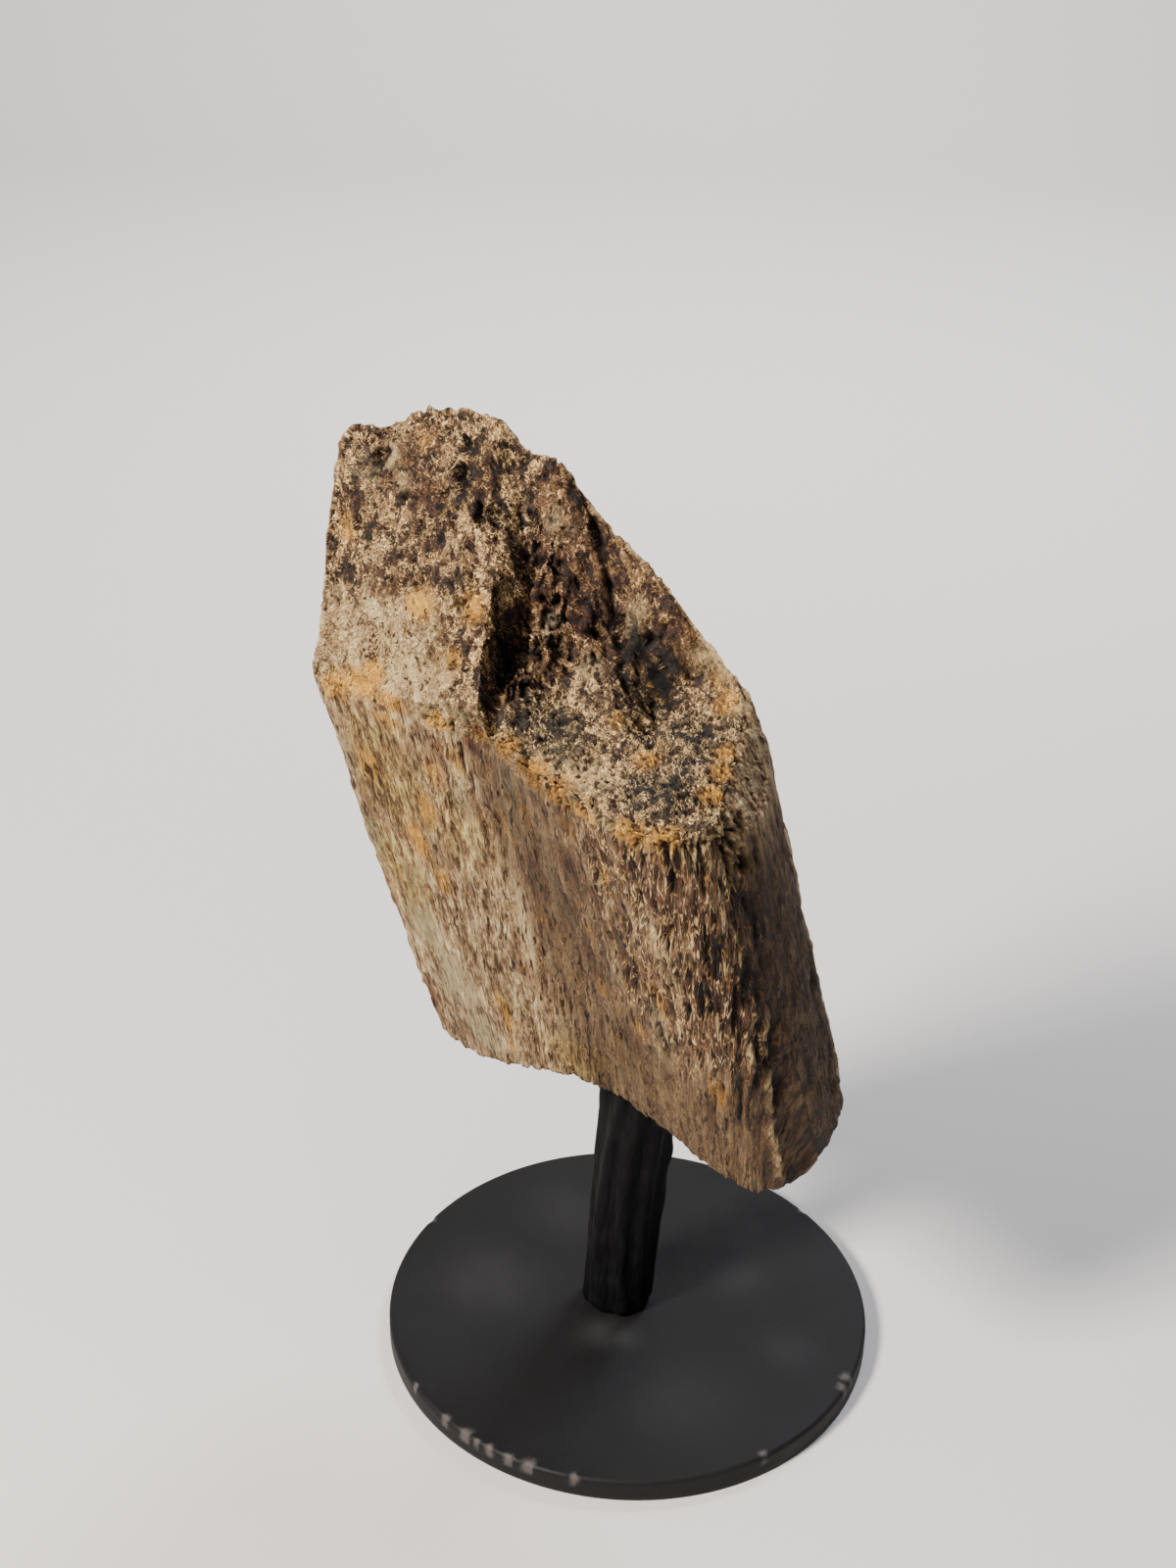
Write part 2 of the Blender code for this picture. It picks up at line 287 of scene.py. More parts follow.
bone = {
    "foot": (4.0, -3.0, 56.0),
    "leanForward": 17.0, "leanLeft": 14.0, "faceYaw": -41.0,  # in degrees
    "breakLevel": 15.0, "ledgeLevel": 100.0,
    "columns": 520, "sideRings": 104, "capRings": 66, "underRings": 8,
    "ringCrowding": 0.045,  # how much closer the side rings stand together at both rims
    "spineReach": 0.86,  # how far the middle line of the top reaches towards both ends
    # columns stand closer where the lobe drops to the ledge: places on the section, spread, how much
    "wallColumns": (13.1, 4.9), "wallSpread": 0.45, "crowding": 1.8,
    "socketCentre": (-4.0, 5.0), "socketRadius": 6.92,
    "socketRises": (9.0, 4.0),  # rings of the socket's wall, above the break
    "grainShift": 13.0,  # how far the fibres at the foot stand left of the crown
    # rib section across the axis, from the right end round the back to the broad front face
    "sectionLow": [
        (39.6, -3), (37.4, 6), (31, 13.5), (19.5, 17.5), (7, 19), (-4, 18.7),
        (-16, 17), (-28, 14), (-38, 6), (-41.5, -4), (-35, -14.5), (-24, -16), (-13, -13.2),
        (-3, -10.8), (8, -10.5), (18, -12.4), (29.5, -13.5), (37, -11.3)],
    "sectionHigh": [
        (41.6, -4), (39.4, 4.5), (32.6, 12.5), (20.5, 16.5), (8, 18), (-3, 18),
        (-14, 17), (-25, 14.5), (-34, 8.5), (-38.5, -3), (-31, -13), (-21, -12.7), (-10, -10.8),
        (0, -9.5), (10, -11.5), (20, -12.7), (31, -13.8), (38.5, -11.5)],
    # height of the broken back rim, left to right
    "rimPlace": [-28, -20, -9, -6, 1, 4, 7, 11, 18, 22, 29, 33, 38],
    "rimHeight": [132.8, 135, 134.5, 129.5, 129, 124, 120, 116.5, 112, 107.5, 106, 102, 100],
    "wallStep": 3.0,  # how far the lobe's wall steps to the right towards the front
    # bevel at the right end, grooves and pits of the break, raggedness of the lower end
    "bevelDrop": 7.0, "grooveDepth": 0.9, "pitDepth": 0.9, "underRagged": 1.4,
    # hollows in the broken top, bumps where the depth is negative: across, through, width, length, depth
    "hollows": [
        (-1.2, 1, 0.7, 4, 2), (17, 8.5, 2.8, 3.2, 8.5), (20.5, 5, 2, 2.2, 3.5),
        (10.5, 11.5, 2, 3, 3.5), (5, 7, 2, 2.4, 2.6), (-2, 9, 2, 2.4, 2.6), (1, 13, 1.6, 2, 2),
        (2.4, 1.4, 2.2, 4.5, -3.4), (2.6, -5, 1.9, 2.6, -3), (1.4, -2.4, 2, 3.4, -3.2),
        (-12, 8, 1.8, 1.6, 2), (-24, 4, 2, 1.8, 1.6)],
    # single large pores of the lobe: across, through, radius, depth
    "largePores": [
        (-12.1, 10.4, 1.3, 2.4), (-12.8, 13.5, 1, 1.8), (-7.7, 8.3, 1.1, 2),
        (-6.1, 9.3, 1, 1.8), (-27.5, 9.3, 1.1, 1.6), (-22, 6.5, 0.9, 1.4), (-17, 4, 0.9, 1.2),
        (-30.5, 3, 1, 1.2)],
    # jagged lip where the shell breaks low on the right: height along the fibres, place through the rib
    "lipHeights": [16, 27, 38, 43, 49, 54, 59],
    "lipPlaces": [-9.6, -9.5, -8.9, -8, -9.9, -6.6, -6.6],
    # size of one cell of each relief pattern: across, through and along the fibres
    "cells": {
        "comb": (2.4, 2.4, 3.8), "combMid": (1.7, 1.7, 2.4), "combFine": (1.1, 1.1, 1.4),
        "pitsWide": (2.7, 2.7, 3.4), "pits": (1.35, 1.35, 1.7), "slits": (1.1, 1.1, 9),
        "bunches": (6, 6, 14), "fissures": (2.2, 2.2, 26), "furrows": (1.5, 1.5, 11),
        "curls": (1, 1, 1.3), "strands": (1.1, 1.1, 22), "flakes": (4.5, 4.5, 12),
        "smallFlakes": (2, 2, 5), "cracks": (13, 13, 26), "swell": (7, 7, 30),
        "lumps": (3.4, 3.4, 4.2), "fray": (3, 3, 5), "gullyBend": (60, 3.5, 3.5),
        "lipBend": (50, 50, 2.2)},
    # how deep each pattern is sunk in each zone
    "sunk": {
        "comb": {"sponge": 1.8, "under": 1.0},
        "combMid": {"sponge": 0.75, "under": 0.6, "lobe": 0.45, "crumbly": 0.60},
        "combFine": {"sponge": 0.25, "lobe": 0.45, "crumbly": 0.80},
        "pitsWide": {"lobe": 0.80, "crumbly": 0.55},
        "pits": {"lobe": 0.45},
        "slits": {"cortex": 0.12, "openFace": 0.36, "side": 0.16, "strip": 0.7, "wall": 0.5},
        "fissures": {"face": 0.9, "cortex": 0.25, "ridge": 0.3},
        "furrows": {"ridge": 1.25, "face": 0.20, "strip": 1.3, "wall": 0.7},
        "cracks": {"back": 0.6}},
    # how far each pattern stands proud in each zone
    "proud": {
        "curls": {"lobe": 0.30, "slope": 0.35, "ledge": 0.30},
        "strands": {"side": 0.22, "cortex": 0.45},
        "swell": {"side": 0.35},
        "flakes": {"roughSide": 0.30, "cortex": 0.45},
        "lumps": {"lobe": 0.35, "slope": 0.55, "ledge": 0.45}},
    # soft stains, and spots of painted shade in the hollows and at the right end: across, through, along,
    # width, length, strength
    "stainsAndShade": {
        "ochre": [
            (-22, -11, 102, 5, 2.5, 0.9), (-27, -12, 100, 4, 2.5, 0.8), (-16, -11, 101, 4, 2.0, 0.8),
            (-18, -12, 97, 4, 3, 0.6), (-20, -14, 70, 2.2, 5, 1.1), (-16, -13, 79, 2, 5, 0.7),
            (-25, -14, 85, 3, 6, 0.6), (-12, -12, 88, 2.5, 6, 0.6), (-18, -13, 62, 2, 5, 0.7),
            (-7, -11, 92, 2, 5, 0.6), (-8, -10.5, 99.5, 3, 2, 0.8), (-1, -9, 99.5, 3, 2, 0.9),
            (5, -10, 99.5, 3, 2.2, 0.9), (11, -12, 99, 3.2, 2.6, 1.1),
            (17, -12.5, 98.5, 3.2, 2.4, 1.1), (22, -13, 98.5, 3, 2.0, 0.8),
            (31, -14, 99, 3.2, 2.4, 1.0), (36, -12.5, 99, 3, 2.2, 1.0), (34, 4, 100, 2.2, 3, 0.9),
            (35.5, 1, 99, 2.0, 3, 0.9), (37, -3, 99.5, 2.0, 2.5, 0.9), (29, 11, 101, 2.6, 3, 0.7),
            (26, 13, 103, 2.2, 3, 0.5), (25, -2, 100, 2.4, 2, 0.8), (16, 2, 100, 2.4, 2, 0.6),
            (-33, 3, 117, 3, 4, 0.6), (-33, -6, 103, 2.2, 2.5, 0.8), (-19.5, -10, 104, 2.4, 2.6, 1.0),
            (-13, -2.5, 114, 3.2, 3, 0.8), (-5, 0, 114, 3, 4, 0.7), (-6, -5, 108, 2.4, 3, 0.6),
            (-20, 12, 131, 3, 3, 0.5), (-15, -14.5, 30, 1.6, 9, 0.9), (-16, -15, 20, 1.4, 5, 0.8),
            (33, -13, 40, 2.6, 5, 0.7), (2, 4, 104, 3, 3, 0.5), (3, -12, 46, 3, 6, 0.5),
            (-8, -13, 45, 2.5, 7, 0.5), (-10, 18, 112, 4, 8, 0.8), (14, 18, 96, 4, 7, 0.8),
            (-28, 14, 70, 4, 9, 0.7), (6, 19, 44, 4, 9, 0.7), (24, 16, 60, 3, 10, 0.6),
            (-18, 17, 30, 4, 6, 0.7), (6, -11, 88, 2, 5, 0.6), (-2, -11, 80, 2, 6, 0.6),
            (12, -12, 66, 2, 4, 0.6), (22, -13, 84, 1.6, 5, 0.6), (17, -12.5, 92, 2, 4, 0.6),
            (10, -11.5, 50, 2.4, 5, 0.6), (26, -13.5, 60, 2, 6, 0.6), (0, -11, 60, 2, 5, 0.6),
            (18, -12.5, 46, 2.4, 5, 0.6)],
        "rust": [
            (-34, -15, 52, 2.2, 11, 1.0), (-33, -16, 24, 2.2, 7, 0.9), (-36, -13, 38, 2.0, 8, 0.6),
            (37.5, -12, 80, 1.8, 10, 0.7), (38.8, -10.5, 62, 1.6, 9, 0.9),
            (33, -13.5, 86, 1.6, 7, 0.5), (2.5, -10.5, 74, 2.2, 4, 0.6),
            (13.4, -12, 81.5, 1.2, 2.6, 0.9), (-3, -9.5, 97, 2.2, 2.5, 0.9), (4, 7, 109, 1.6, 2, 0.8),
            (24, -14, 78, 2.4, 8, 0.4), (35, -12, 22, 2.6, 4, 0.5), (-16, 17, 92, 3, 12, 0.9),
            (2, 19, 74, 2.6, 12, 0.8), (20, 17, 36, 3, 9, 0.8), (-33, 10, 96, 2.6, 9, 0.7)],
        "grey": [
            (-26, -15, 46, 4.2, 9, 0.9), (-23.5, -15, 34, 4.2, 10, 1.1), (-21, -15.5, 22, 4.0, 7, 1.1),
            (-29, -14, 88, 2.5, 9, 0.6), (-31, -15, 68, 2.5, 9, 0.8), (-19, -13, 86, 2.2, 7, 0.4),
            (-8, -11, 84, 2.4, 8, 0.6), (1, -10, 84, 2.4, 8, 0.7), (-25, -14, 60, 2.5, 6, 0.5),
            (-5, -12, 28, 6, 6, 0.5), (13, 13, 108, 2.6, 5, 0.9), (9, 6, 104, 2.2, 2.4, 0.8),
            (24, -13.5, 52, 3, 12, 0.5), (2, 6.5, 108.5, 2.2, 2.2, 0.9), (5, -11, 22, 5, 6, 0.5),
            (4, -10, 92, 2.6, 8, 0.9), (7, -11, 76, 2.6, 9, 0.7), (-4, 18, 96, 5, 12, 0.9),
            (-24, 15, 112, 5, 9, 0.8), (12, 18, 66, 5, 12, 0.9), (-14, 18, 54, 5, 12, 0.8),
            (28, 14, 84, 4, 10, 0.7), (-2, 19, 26, 6, 7, 0.7), (8, -11, 66, 4, 9, 0.5),
            (20, -13, 88, 3, 6, 0.5), (-30, 8, 126, 4, 4, 0.5)],
        "charcoal": [
            (3, -4, 100, 4.5, 3, 1.1), (9, -4, 100, 4.5, 3, 1.1), (13, -6, 100, 3.6, 3, 1.0),
            (-1, -5, 100, 3, 3, 0.8), (28, 5, 100, 4.2, 3, 1.0), (24, 5, 100, 3.6, 3, 1.0),
            (31, 0, 100, 3.4, 3, 0.9), (31, -6, 100, 4.6, 3, 1.2), (27, -7, 100, 3, 3, 0.9),
            (20, 1, 100, 3, 3, 0.7), (35, -8, 100, 3, 3, 0.9), (-14, -4, 107, 3, 2, 0.7),
            (-22, -5, 108, 3, 2, 0.5)],
        "cream": [
            (-30, -6, 105, 5, 4, 0.8), (-24, -8, 106, 5, 4, 0.8), (-14, -8, 106, 5, 3.5, 1.0),
            (-8, -8, 106, 4, 3.5, 0.9), (-35, -2, 104, 4, 6, 0.8), (-10, -10.5, 101, 4, 1.6, 1.0),
            (-4, -10, 99, 4, 2.4, 0.9), (0, -9.5, 98, 3, 2.4, 1.0), (14, -8, 100, 5, 2, 0.8),
            (20, -9, 100, 5, 2, 0.9), (-26, 10, 128, 2.6, 2.6, 0.9), (-23, 8, 126, 2.4, 3, 0.6),
            (2, 13, 122, 3.5, 4, 0.6), (-1, 2, 102, 3, 3, 0.7), (9, 6, 104, 2.2, 2.4, 0.8),
            (41, -5, 93, 2.2, 7, 0.9), (38, -10, 96, 2.4, 4, 0.8), (35, -12, 76, 1.6, 8, 0.7),
            (30, -13.5, 70, 2.2, 12, 0.8), (38, -11, 28, 1.8, 5, 0.6), (-7, -11.5, 58, 5, 4, 0.5),
            (-2, -11, 50, 6, 4, 0.4), (24.5, 15.5, 105, 3.5, 4, 1.0), (27, 14.5, 104, 3, 2, 0.9),
            (31, 11.5, 101.5, 2.4, 2, 0.9), (26, -13, 74, 2.4, 10, 0.5), (20, -12.5, 30, 5, 8, 0.5),
            (-18, -8, 108, 4, 3, 0.7), (-20, 17, 74, 4, 10, 0.7), (8, 18, 88, 4, 9, 0.7),
            (-6, 18, 122, 6, 5, 0.7), (22, 16, 48, 4, 9, 0.7), (9, -11.5, 84, 1.6, 6, 0.6),
            (16, -12.3, 58, 2, 6, 0.6), (-4, -11, 66, 2, 6, 0.6), (22, -13, 42, 2.4, 6, 0.6),
            (5, -11, 42, 2.4, 6, 0.6), (12, -12, 26, 3, 4, 0.6)],
        # spots of painted shade: the gully at the foot of the lobe's wall, the deep hole and the slope
        # above it, and two spots at the right end
        "dark": [
            (-1.3, 1.0, 106, 0.8, 5, 1.0), (17, 9.5, 100, 3.4, 5, 0.9), (14, 10.5, 105, 3.2, 5, 0.8),
            (10, 11, 110, 3.0, 5, 0.6), (20.5, 5.5, 99, 1.8, 2, 0.6), (14, 8, 101, 1.5, 3, 0.7),
            (19, 12, 103, 2.4, 4, 0.9), (5, 10, 113, 5, 6, 0.5), (8, 13, 116, 3, 6, 0.5),
            (39.8, -8.5, 66, 1.6, 8, 0.7), (36, -12, 90, 2, 4, 0.5)],
        "olive": [
            (-22, -13, 84, 9, 16, 0.9), (-28, -14, 60, 8, 18, 0.8), (-33, -10, 92, 6, 9, 0.8),
            (-10, -12, 76, 8, 14, 0.6), (14, -12, 30, 12, 12, 0.6), (-2, -12, 22, 12, 9, 0.7)],
        "umber": [
            (14, -12, 80, 4, 9, 0.8), (20, -13, 64, 3, 10, 0.7), (10, -11, 58, 3, 10, 0.7),
            (24, -13.5, 88, 3, 9, 0.7), (0, -11, 70, 3, 8, 0.6), (-10, -12, 94, 2, 6, 0.8),
            (-14, -13, 70, 2, 7, 0.6), (37, -11.5, 72, 3.2, 14, 1.1), (34, -13, 58, 2.6, 9, 0.8),
            (32, -13.5, 88, 3, 7, 0.7), (-29, -14, 76, 2, 7, 0.6), (-6, -12, 40, 4, 8, 0.6),
            (14, -12, 40, 4, 8, 0.6), (30, -13.5, 34, 3, 9, 0.7), (-31, 4, 122, 3, 3, 0.7),
            (-16, 4, 122, 3, 3, 0.6), (-10, 12, 128, 5, 5, 0.8), (-26, 0, 112, 3, 2.5, 0.8),
            (-24, 8, 127, 5, 6, 0.8), (-17, 8, 125, 5, 5, 0.8), (-20, 0, 115, 4, 4, 0.7),
            (-12, 4, 119, 4, 3, 0.5), (20, 17, 80, 8, 20, 0.5), (-6, 18, 60, 8, 22, 0.6),
            (-26, 15, 90, 6, 20, 0.5), (8, 18, 95, 6, 14, 0.6), (-30, 12, 45, 6, 12, 0.5),
            (3, -11, 78, 1.2, 8, 0.9), (9, -11.5, 70, 1.2, 9, 0.9), (17, -12.5, 74, 1.2, 9, 0.9),
            (25, -13.4, 70, 1.2, 10, 0.8), (-6, -11, 80, 1.2, 8, 0.8), (-1, -11, 90, 1.0, 6, 0.8),
            (-11, -12, 84, 1.0, 7, 0.7), (12, -12, 92, 1.0, 6, 0.8)],
        "plum": [
            (1, 11, 118, 7, 7, 0.9), (6, 8, 111, 6, 7, 1.0), (-6, 9, 124, 5, 5, 0.7),
            (-12, 12, 129, 5, 4, 0.6), (34, -13, 86, 4, 8, 0.5), (37, -12, 66, 3, 10, 0.7),
            (29, -13.5, 94, 4, 4, 0.5), (-15, -11, 93, 2, 5, 0.6), (-2.5, -10, 96.5, 2.6, 2.6, 0.8),
            (20, 9, 100, 5, 4, 0.7)],
    },
}


def boneAxes():
    # along leans forward and left, across lies in the broad face, through is their cross product
    along = np.array([-math.tan(math.radians(bone["leanLeft"])),
                      -math.tan(math.radians(bone["leanForward"])), 1.0])
    along /= np.linalg.norm(along)
    yaw = math.radians(bone["faceYaw"])
    across = np.array([math.cos(yaw), math.sin(yaw), 0.0])
    across -= across.dot(along) * along
    across /= np.linalg.norm(across)
    return np.stack([across, np.cross(along, across), along])


def closedCurve(knots, place):
    # Catmull-Rom: a cubic between neighbouring knots whose slopes are half the step from knot to knot
    knots = np.array(knots)
    count = len(knots)
    index = np.floor(place).astype(int)
    t = (place - index)[..., None]
    before, start = knots[(index - 1) % count], knots[index % count]
    end, after = knots[(index + 1) % count], knots[(index + 2) % count]
    slopeIn, slopeOut = (end - before) / 2.0, (after - start) / 2.0
    return (start + slopeIn * t + (3.0 * (end - start) - 2.0 * slopeIn - slopeOut) * t ** 2
            + (2.0 * (start - end) + slopeIn + slopeOut) * t ** 3)


def sectionAt(level, place):
    # the low section blended into the high one, in step with the level
    share = ((level - bone["breakLevel"]) / (bone["ledgeLevel"] - bone["breakLevel"]))[..., None]
    low, high = closedCurve(bone["sectionLow"], place), closedCurve(bone["sectionHigh"], place)
    return low * (1.0 - share) + high * share


def lobeStep(v):
    # a smooth step of the lobe's wall to the right, from the back to the front
    return bone["wallStep"] * smoothStep(4.0, -8.0, v)


def topHeight(u, v):
    # ledge level plus the rim's height times a share that climbs to the back rim; the share bulges
    # on the lobe and sags on the ledge side; then a bevel, the hollows, sine grooves and pits
    back = np.clip(v, 0.0, 14.0)
    lobeShare = np.clip((v + 12.0) / 29.0, 0.0, 1.0) ** 0.8
    leftEnd = smoothStep(-22.0, -36.0, u)
    lobeShare = lobeShare * (1.0 - leftEnd) + smoothStep(-6.0, 12.0, v) * leftEnd
    start = 1.0 + 7.5 * smoothStep(16.0, 24.0, u)
    sag = 0.95 + 0.6 * smoothStep(2.0, 14.0, u)
    ledgeShare = np.clip((v - start) / (17.0 - start), 0.0, 1.0) ** sag
    wallPlace = u - lobeStep(v) + 0.6 * roughField(v / 4.0, u / 9.0, 3)
    lobe = smoothStep(-1.3, -2.4 - 0.24 * back, wallPlace)
    rim = np.interp(u, bone["rimPlace"], bone["rimHeight"]) - bone["ledgeLevel"]
    bevel = bone["bevelDrop"] * smoothStep(0.0, 4.5, u + 0.48 * v - 37.0)
    height = bone["ledgeLevel"] + rim * (lobe * lobeShare + (1.0 - lobe) * ledgeShare) - bevel
    for across, through, width, length, depth in bone["hollows"]:
        height = height - depth * hill(u, across, width) * hill(v, through, length)
    steep = smoothStep(102.0, 112.0, height)
    waves = np.sin(u * 1.9 + 0.8 * np.sin(v * 0.3))
    grooves = bone["grooveDepth"] * waves * (1.0 - lobe) * steep * smoothStep(15.0, 11.0, v)
    pits = roughField(u / 2.6, v / 2.6, 5) + 0.6 * roughField(u / 1.4, v / 1.4, 6)
    calmRim = 1.0 - 0.5 * smoothStep(11.0, 15.0, v)
    return height + grooves + bone["pitDepth"] * (0.45 + 0.55 * steep) * calmRim * pits


def underHeight(u, v):
    # break level, a chip that rises at the left end, two droops and a ragged noise
    chip = 6.0 * smoothStep(-33.0, -42.0, u)
    droop = 1.8 * hill(u, -25.0, 8.0) + 1.6 * hill(u, 34.0, 5.0)
    ragged = roughField(u / 4.5 + 7.0, v / 6.0, 11) + 0.45 * roughField(u / 1.9, v / 1.9, 12)
    return bone["breakLevel"] + chip - droop + bone["underRagged"] * ragged


def rimLevels(place, heightFunction):
    # level at which each column meets a broken end, found by repeating the guess
    level = np.full(len(place), (bone["breakLevel"] + bone["ledgeLevel"]) / 2.0)
    for _ in range(8):
        outline = sectionAt(level, place)
        level = heightFunction(outline[:, 0], outline[:, 1])
    return level


def grainPlace(level, place):
    # follows a fibre up to the crown: arc length plus a shift that grows towards the foot,
    # full on the broad face and nothing at the left end and on the back
    fine = np.linspace(0.0, len(bone["sectionHigh"]), 721)
    outline = closedCurve(bone["sectionHigh"], fine)
    arc = np.concatenate([[0.0], np.cumsum(np.linalg.norm(np.diff(outline, axis=0), axis=1))])
    drop = np.clip((bone["ledgeLevel"] - level) / (bone["ledgeLevel"] - bone["breakLevel"]), 0.0, 1.2)
    window = smoothStep(9.6, 12.5, place) * smoothStep(19.2, 16.8, place)
    window = np.where(place < 2.0, smoothStep(1.2, -1.2, place) ** 2, window)
    moved = np.interp(place, fine, arc) + bone["grainShift"] * drop * window
    return np.interp(moved % arc[-1], arc, fine)


def columnPlaces():
    # places round the section, closer together where the lobe's wall meets it, front and back
    fine = np.linspace(0.0, len(bone["sectionHigh"]), 1801)
    crowd = sum(hill(fine, middle, bone["wallSpread"]) for middle in bone["wallColumns"])
    crowd = 1.0 + bone["crowding"] * crowd
    reach = np.concatenate([[0.0], np.cumsum((crowd[1:] + crowd[:-1]) / 2.0)])
    return np.interp(np.arange(bone["columns"]) * reach[-1] / bone["columns"], reach, fine)


def boneRings():
    # rings from the socket's wall over the underside and up the sides to the middle line of the top;
    # kind is 0 under, 1 on the sides and 2 on top
    columns, place, base = bone["columns"], columnPlaces(), bone["breakLevel"]
    low, high = rimLevels(place, underHeight), rimLevels(place, topHeight)
    share = np.linspace(0.0, 1.0, bone["sideRings"])[:, None]
    share = share - bone["ringCrowding"] * np.sin(2.0 * np.pi * share)
    levels = low + (high - low) * share
    sides = sectionAt(levels, place[None, :] * np.ones_like(levels))

    rim = sides[-1]
    mirror = (-np.arange(columns)) % columns
    spine = (rim + rim[mirror]) / 2.0 * np.array([bone["spineReach"], 1.0])
    inward = np.linspace(1.0, 0.0, bone["capRings"] + 1)[1:, None, None]
    top = spine + (rim - spine) * inward
    topLevels = topHeight(top[..., 0], top[..., 1])

    centre = np.array(bone["socketCentre"])
    turn = np.arctan2(*(sides[0] - centre).T[::-1])
    mouth = centre + bone["socketRadius"] * np.stack([np.cos(turn), np.sin(turn)], -1)
    outward = np.linspace(0.0, 1.0, bone["underRings"] + 1)[:-1, None, None]
    under = mouth + (sides[0] - mouth) * outward
    underLevels = underHeight(under[..., 0], under[..., 1])
    underLevels = base + (underLevels - base) * smoothStep(0.0, 0.5, outward[..., 0])
    wall = np.stack([mouth, mouth])
    wallLevels = np.stack([np.full(columns, base + rise) for rise in bone["socketRises"]])

    flat = np.concatenate([wall, under, sides, top])
    level = np.concatenate([wallLevels, underLevels, levels, topLevels])
    rows = [0.0] * (2 + bone["underRings"]) + [1.0] * bone["sideRings"] + [2.0] * bone["capRings"]
    kind = np.array(rows)[:, None] * np.ones(columns)
    return place, flat, level, kind


def softNormals(points):
    # cross product of the steps round and up the rings, averaged over neighbouring rings
    around = np.roll(points, -1, axis=1) - np.roll(points, 1, axis=1)
    up = np.gradient(points, axis=0)
    normal = np.cross(around, up)
    normal /= np.maximum(np.linalg.norm(normal, axis=-1, keepdims=True), 1e-9)
    for _ in range(3):
        padded = np.concatenate([normal[:1], normal, normal[-1:]])
        normal = padded[:-2] + 2.0 * normal + padded[2:]
        normal = normal + np.roll(normal, 1, axis=1) * 0.5 + np.roll(normal, -1, axis=1) * 0.5
        normal /= np.linalg.norm(normal, axis=-1, keepdims=True)
    # both halves of the last ring lie on one line, so they share one normal
    last, mirror = normal[-1], (-np.arange(normal.shape[1])) % normal.shape[1]
    normal[-1] = (last + last[mirror]) / np.linalg.norm(last + last[mirror], axis=-1, keepdims=True)
    return normal


def bentPlace(place, amount, seed):
    # each place moved by a noise of its own in every direction
    return place + amount * np.stack([noiseField(place * 1.7, seed + k, 2) for k in (1, 2, 3)], -1)


def combField(place, seed):
    # honeycomb: each cell has a depth of its own and none on its walls; also how near the wall is
    gap, mark = cellField(bentPlace(place, 0.42, seed), seed)[1:]
    return smoothStep(0.04, 0.50, gap) * (0.2 + 0.8 * mark), np.clip(1.0 - gap / 0.5, 0.0, 1.0)


def pitField(place, seed, share, widest):
    # a share of the cells hold one round pit each, with a radius of its own
    near, mark = cellField(bentPlace(place, 0.25, seed), seed)[::2]
    radius = widest * (0.45 + 0.55 * mark / share)
    return (mark < share) * smoothStep(1.0, 0.35, near / radius)


def curlField(place, seed):
    # crests along the lines where a bent noise is zero
    return smoothStep(0.30, 0.0, np.abs(noiseField(bentPlace(place, 0.7, seed), seed + 7, 2)))


def boneZones(grain, spot, kind):
    # each zone is a product of smooth steps across, through and along, with edges frayed by a noise
    u, v, s = spot[..., 0], spot[..., 1], spot[..., 2]
    fray = 1.3 * noiseField(grain / bone["cells"]["fray"], 41, 2)
    # the rounded right end of the top carries fibres like the sides
    ends = (kind == 2.0) * smoothStep(37.5, 38.7, u + 0.48 * v + 0.4 * fray)
    top, side = (kind == 2.0) - ends, (kind == 1.0) + ends
    right = smoothStep(-3.2, -1.2, u - lobeStep(v) + 0.6 * fray)
    cortex = top * (1.0 - right) * smoothStep(-1.2, -3.6, v + 1.2 * fray)
    cortex = cortex * smoothStep(-6.5, -9.5, u + 1.5 * fray)
    slope = top * right * smoothStep(101.2, 104.5, s + 0.5 * fray)
    wall = slope * smoothStep(19.0, 22.5, u + fray) * smoothStep(9.0, 11.5, v)
    rim = slope * smoothStep(11.5, 14.5, v)
    ridge = side * smoothStep(4.0, 31.0, u + 2.0 * fray) * smoothStep(-2.5, -6.0, v)
    ridge = ridge * smoothStep(34.0, 52.0, s)
    calm = np.clip(1.3 * spotMask(spot, bone["stainsAndShade"]["grey"][:3]), 0.0, 1.0) * side
    face = side * smoothStep(2.0, -4.0, v) * (1.0 - calm)
    crumbs = side * smoothStep(95.8, 98.6, s + 0.8 * fray) * smoothStep(-3.0, -7.0, v)
    crumbs = crumbs * smoothStep(-16.0, -8.0, u)
    ledge = top * right - slope
    return {
        "fray": fray, "ends": ends, "top": top, "side": side, "under": (kind == 0.0).astype(float),
        "cortex": cortex, "lobe": top * (1.0 - right) * (1.0 - cortex), "ledge": ledge,
        "slope": slope, "wall": wall, "sponge": slope * (1.0 - 0.75 * np.maximum(wall, 0.7 * rim)),
        "ridge": ridge, "calm": calm, "roughSide": side * (1.0 - calm),
        "face": face, "openFace": face * (1.0 - 0.4 * ridge),
        "crumbs": crumbs, "crumbly": ledge + crumbs,
        "strip": side * hill(u, 40.6, 2.6) * hill(v, -5.0, 2.6) * smoothStep(84.0, 90.0, s),
        "back": side * smoothStep(2.0, 7.0, v),
    }


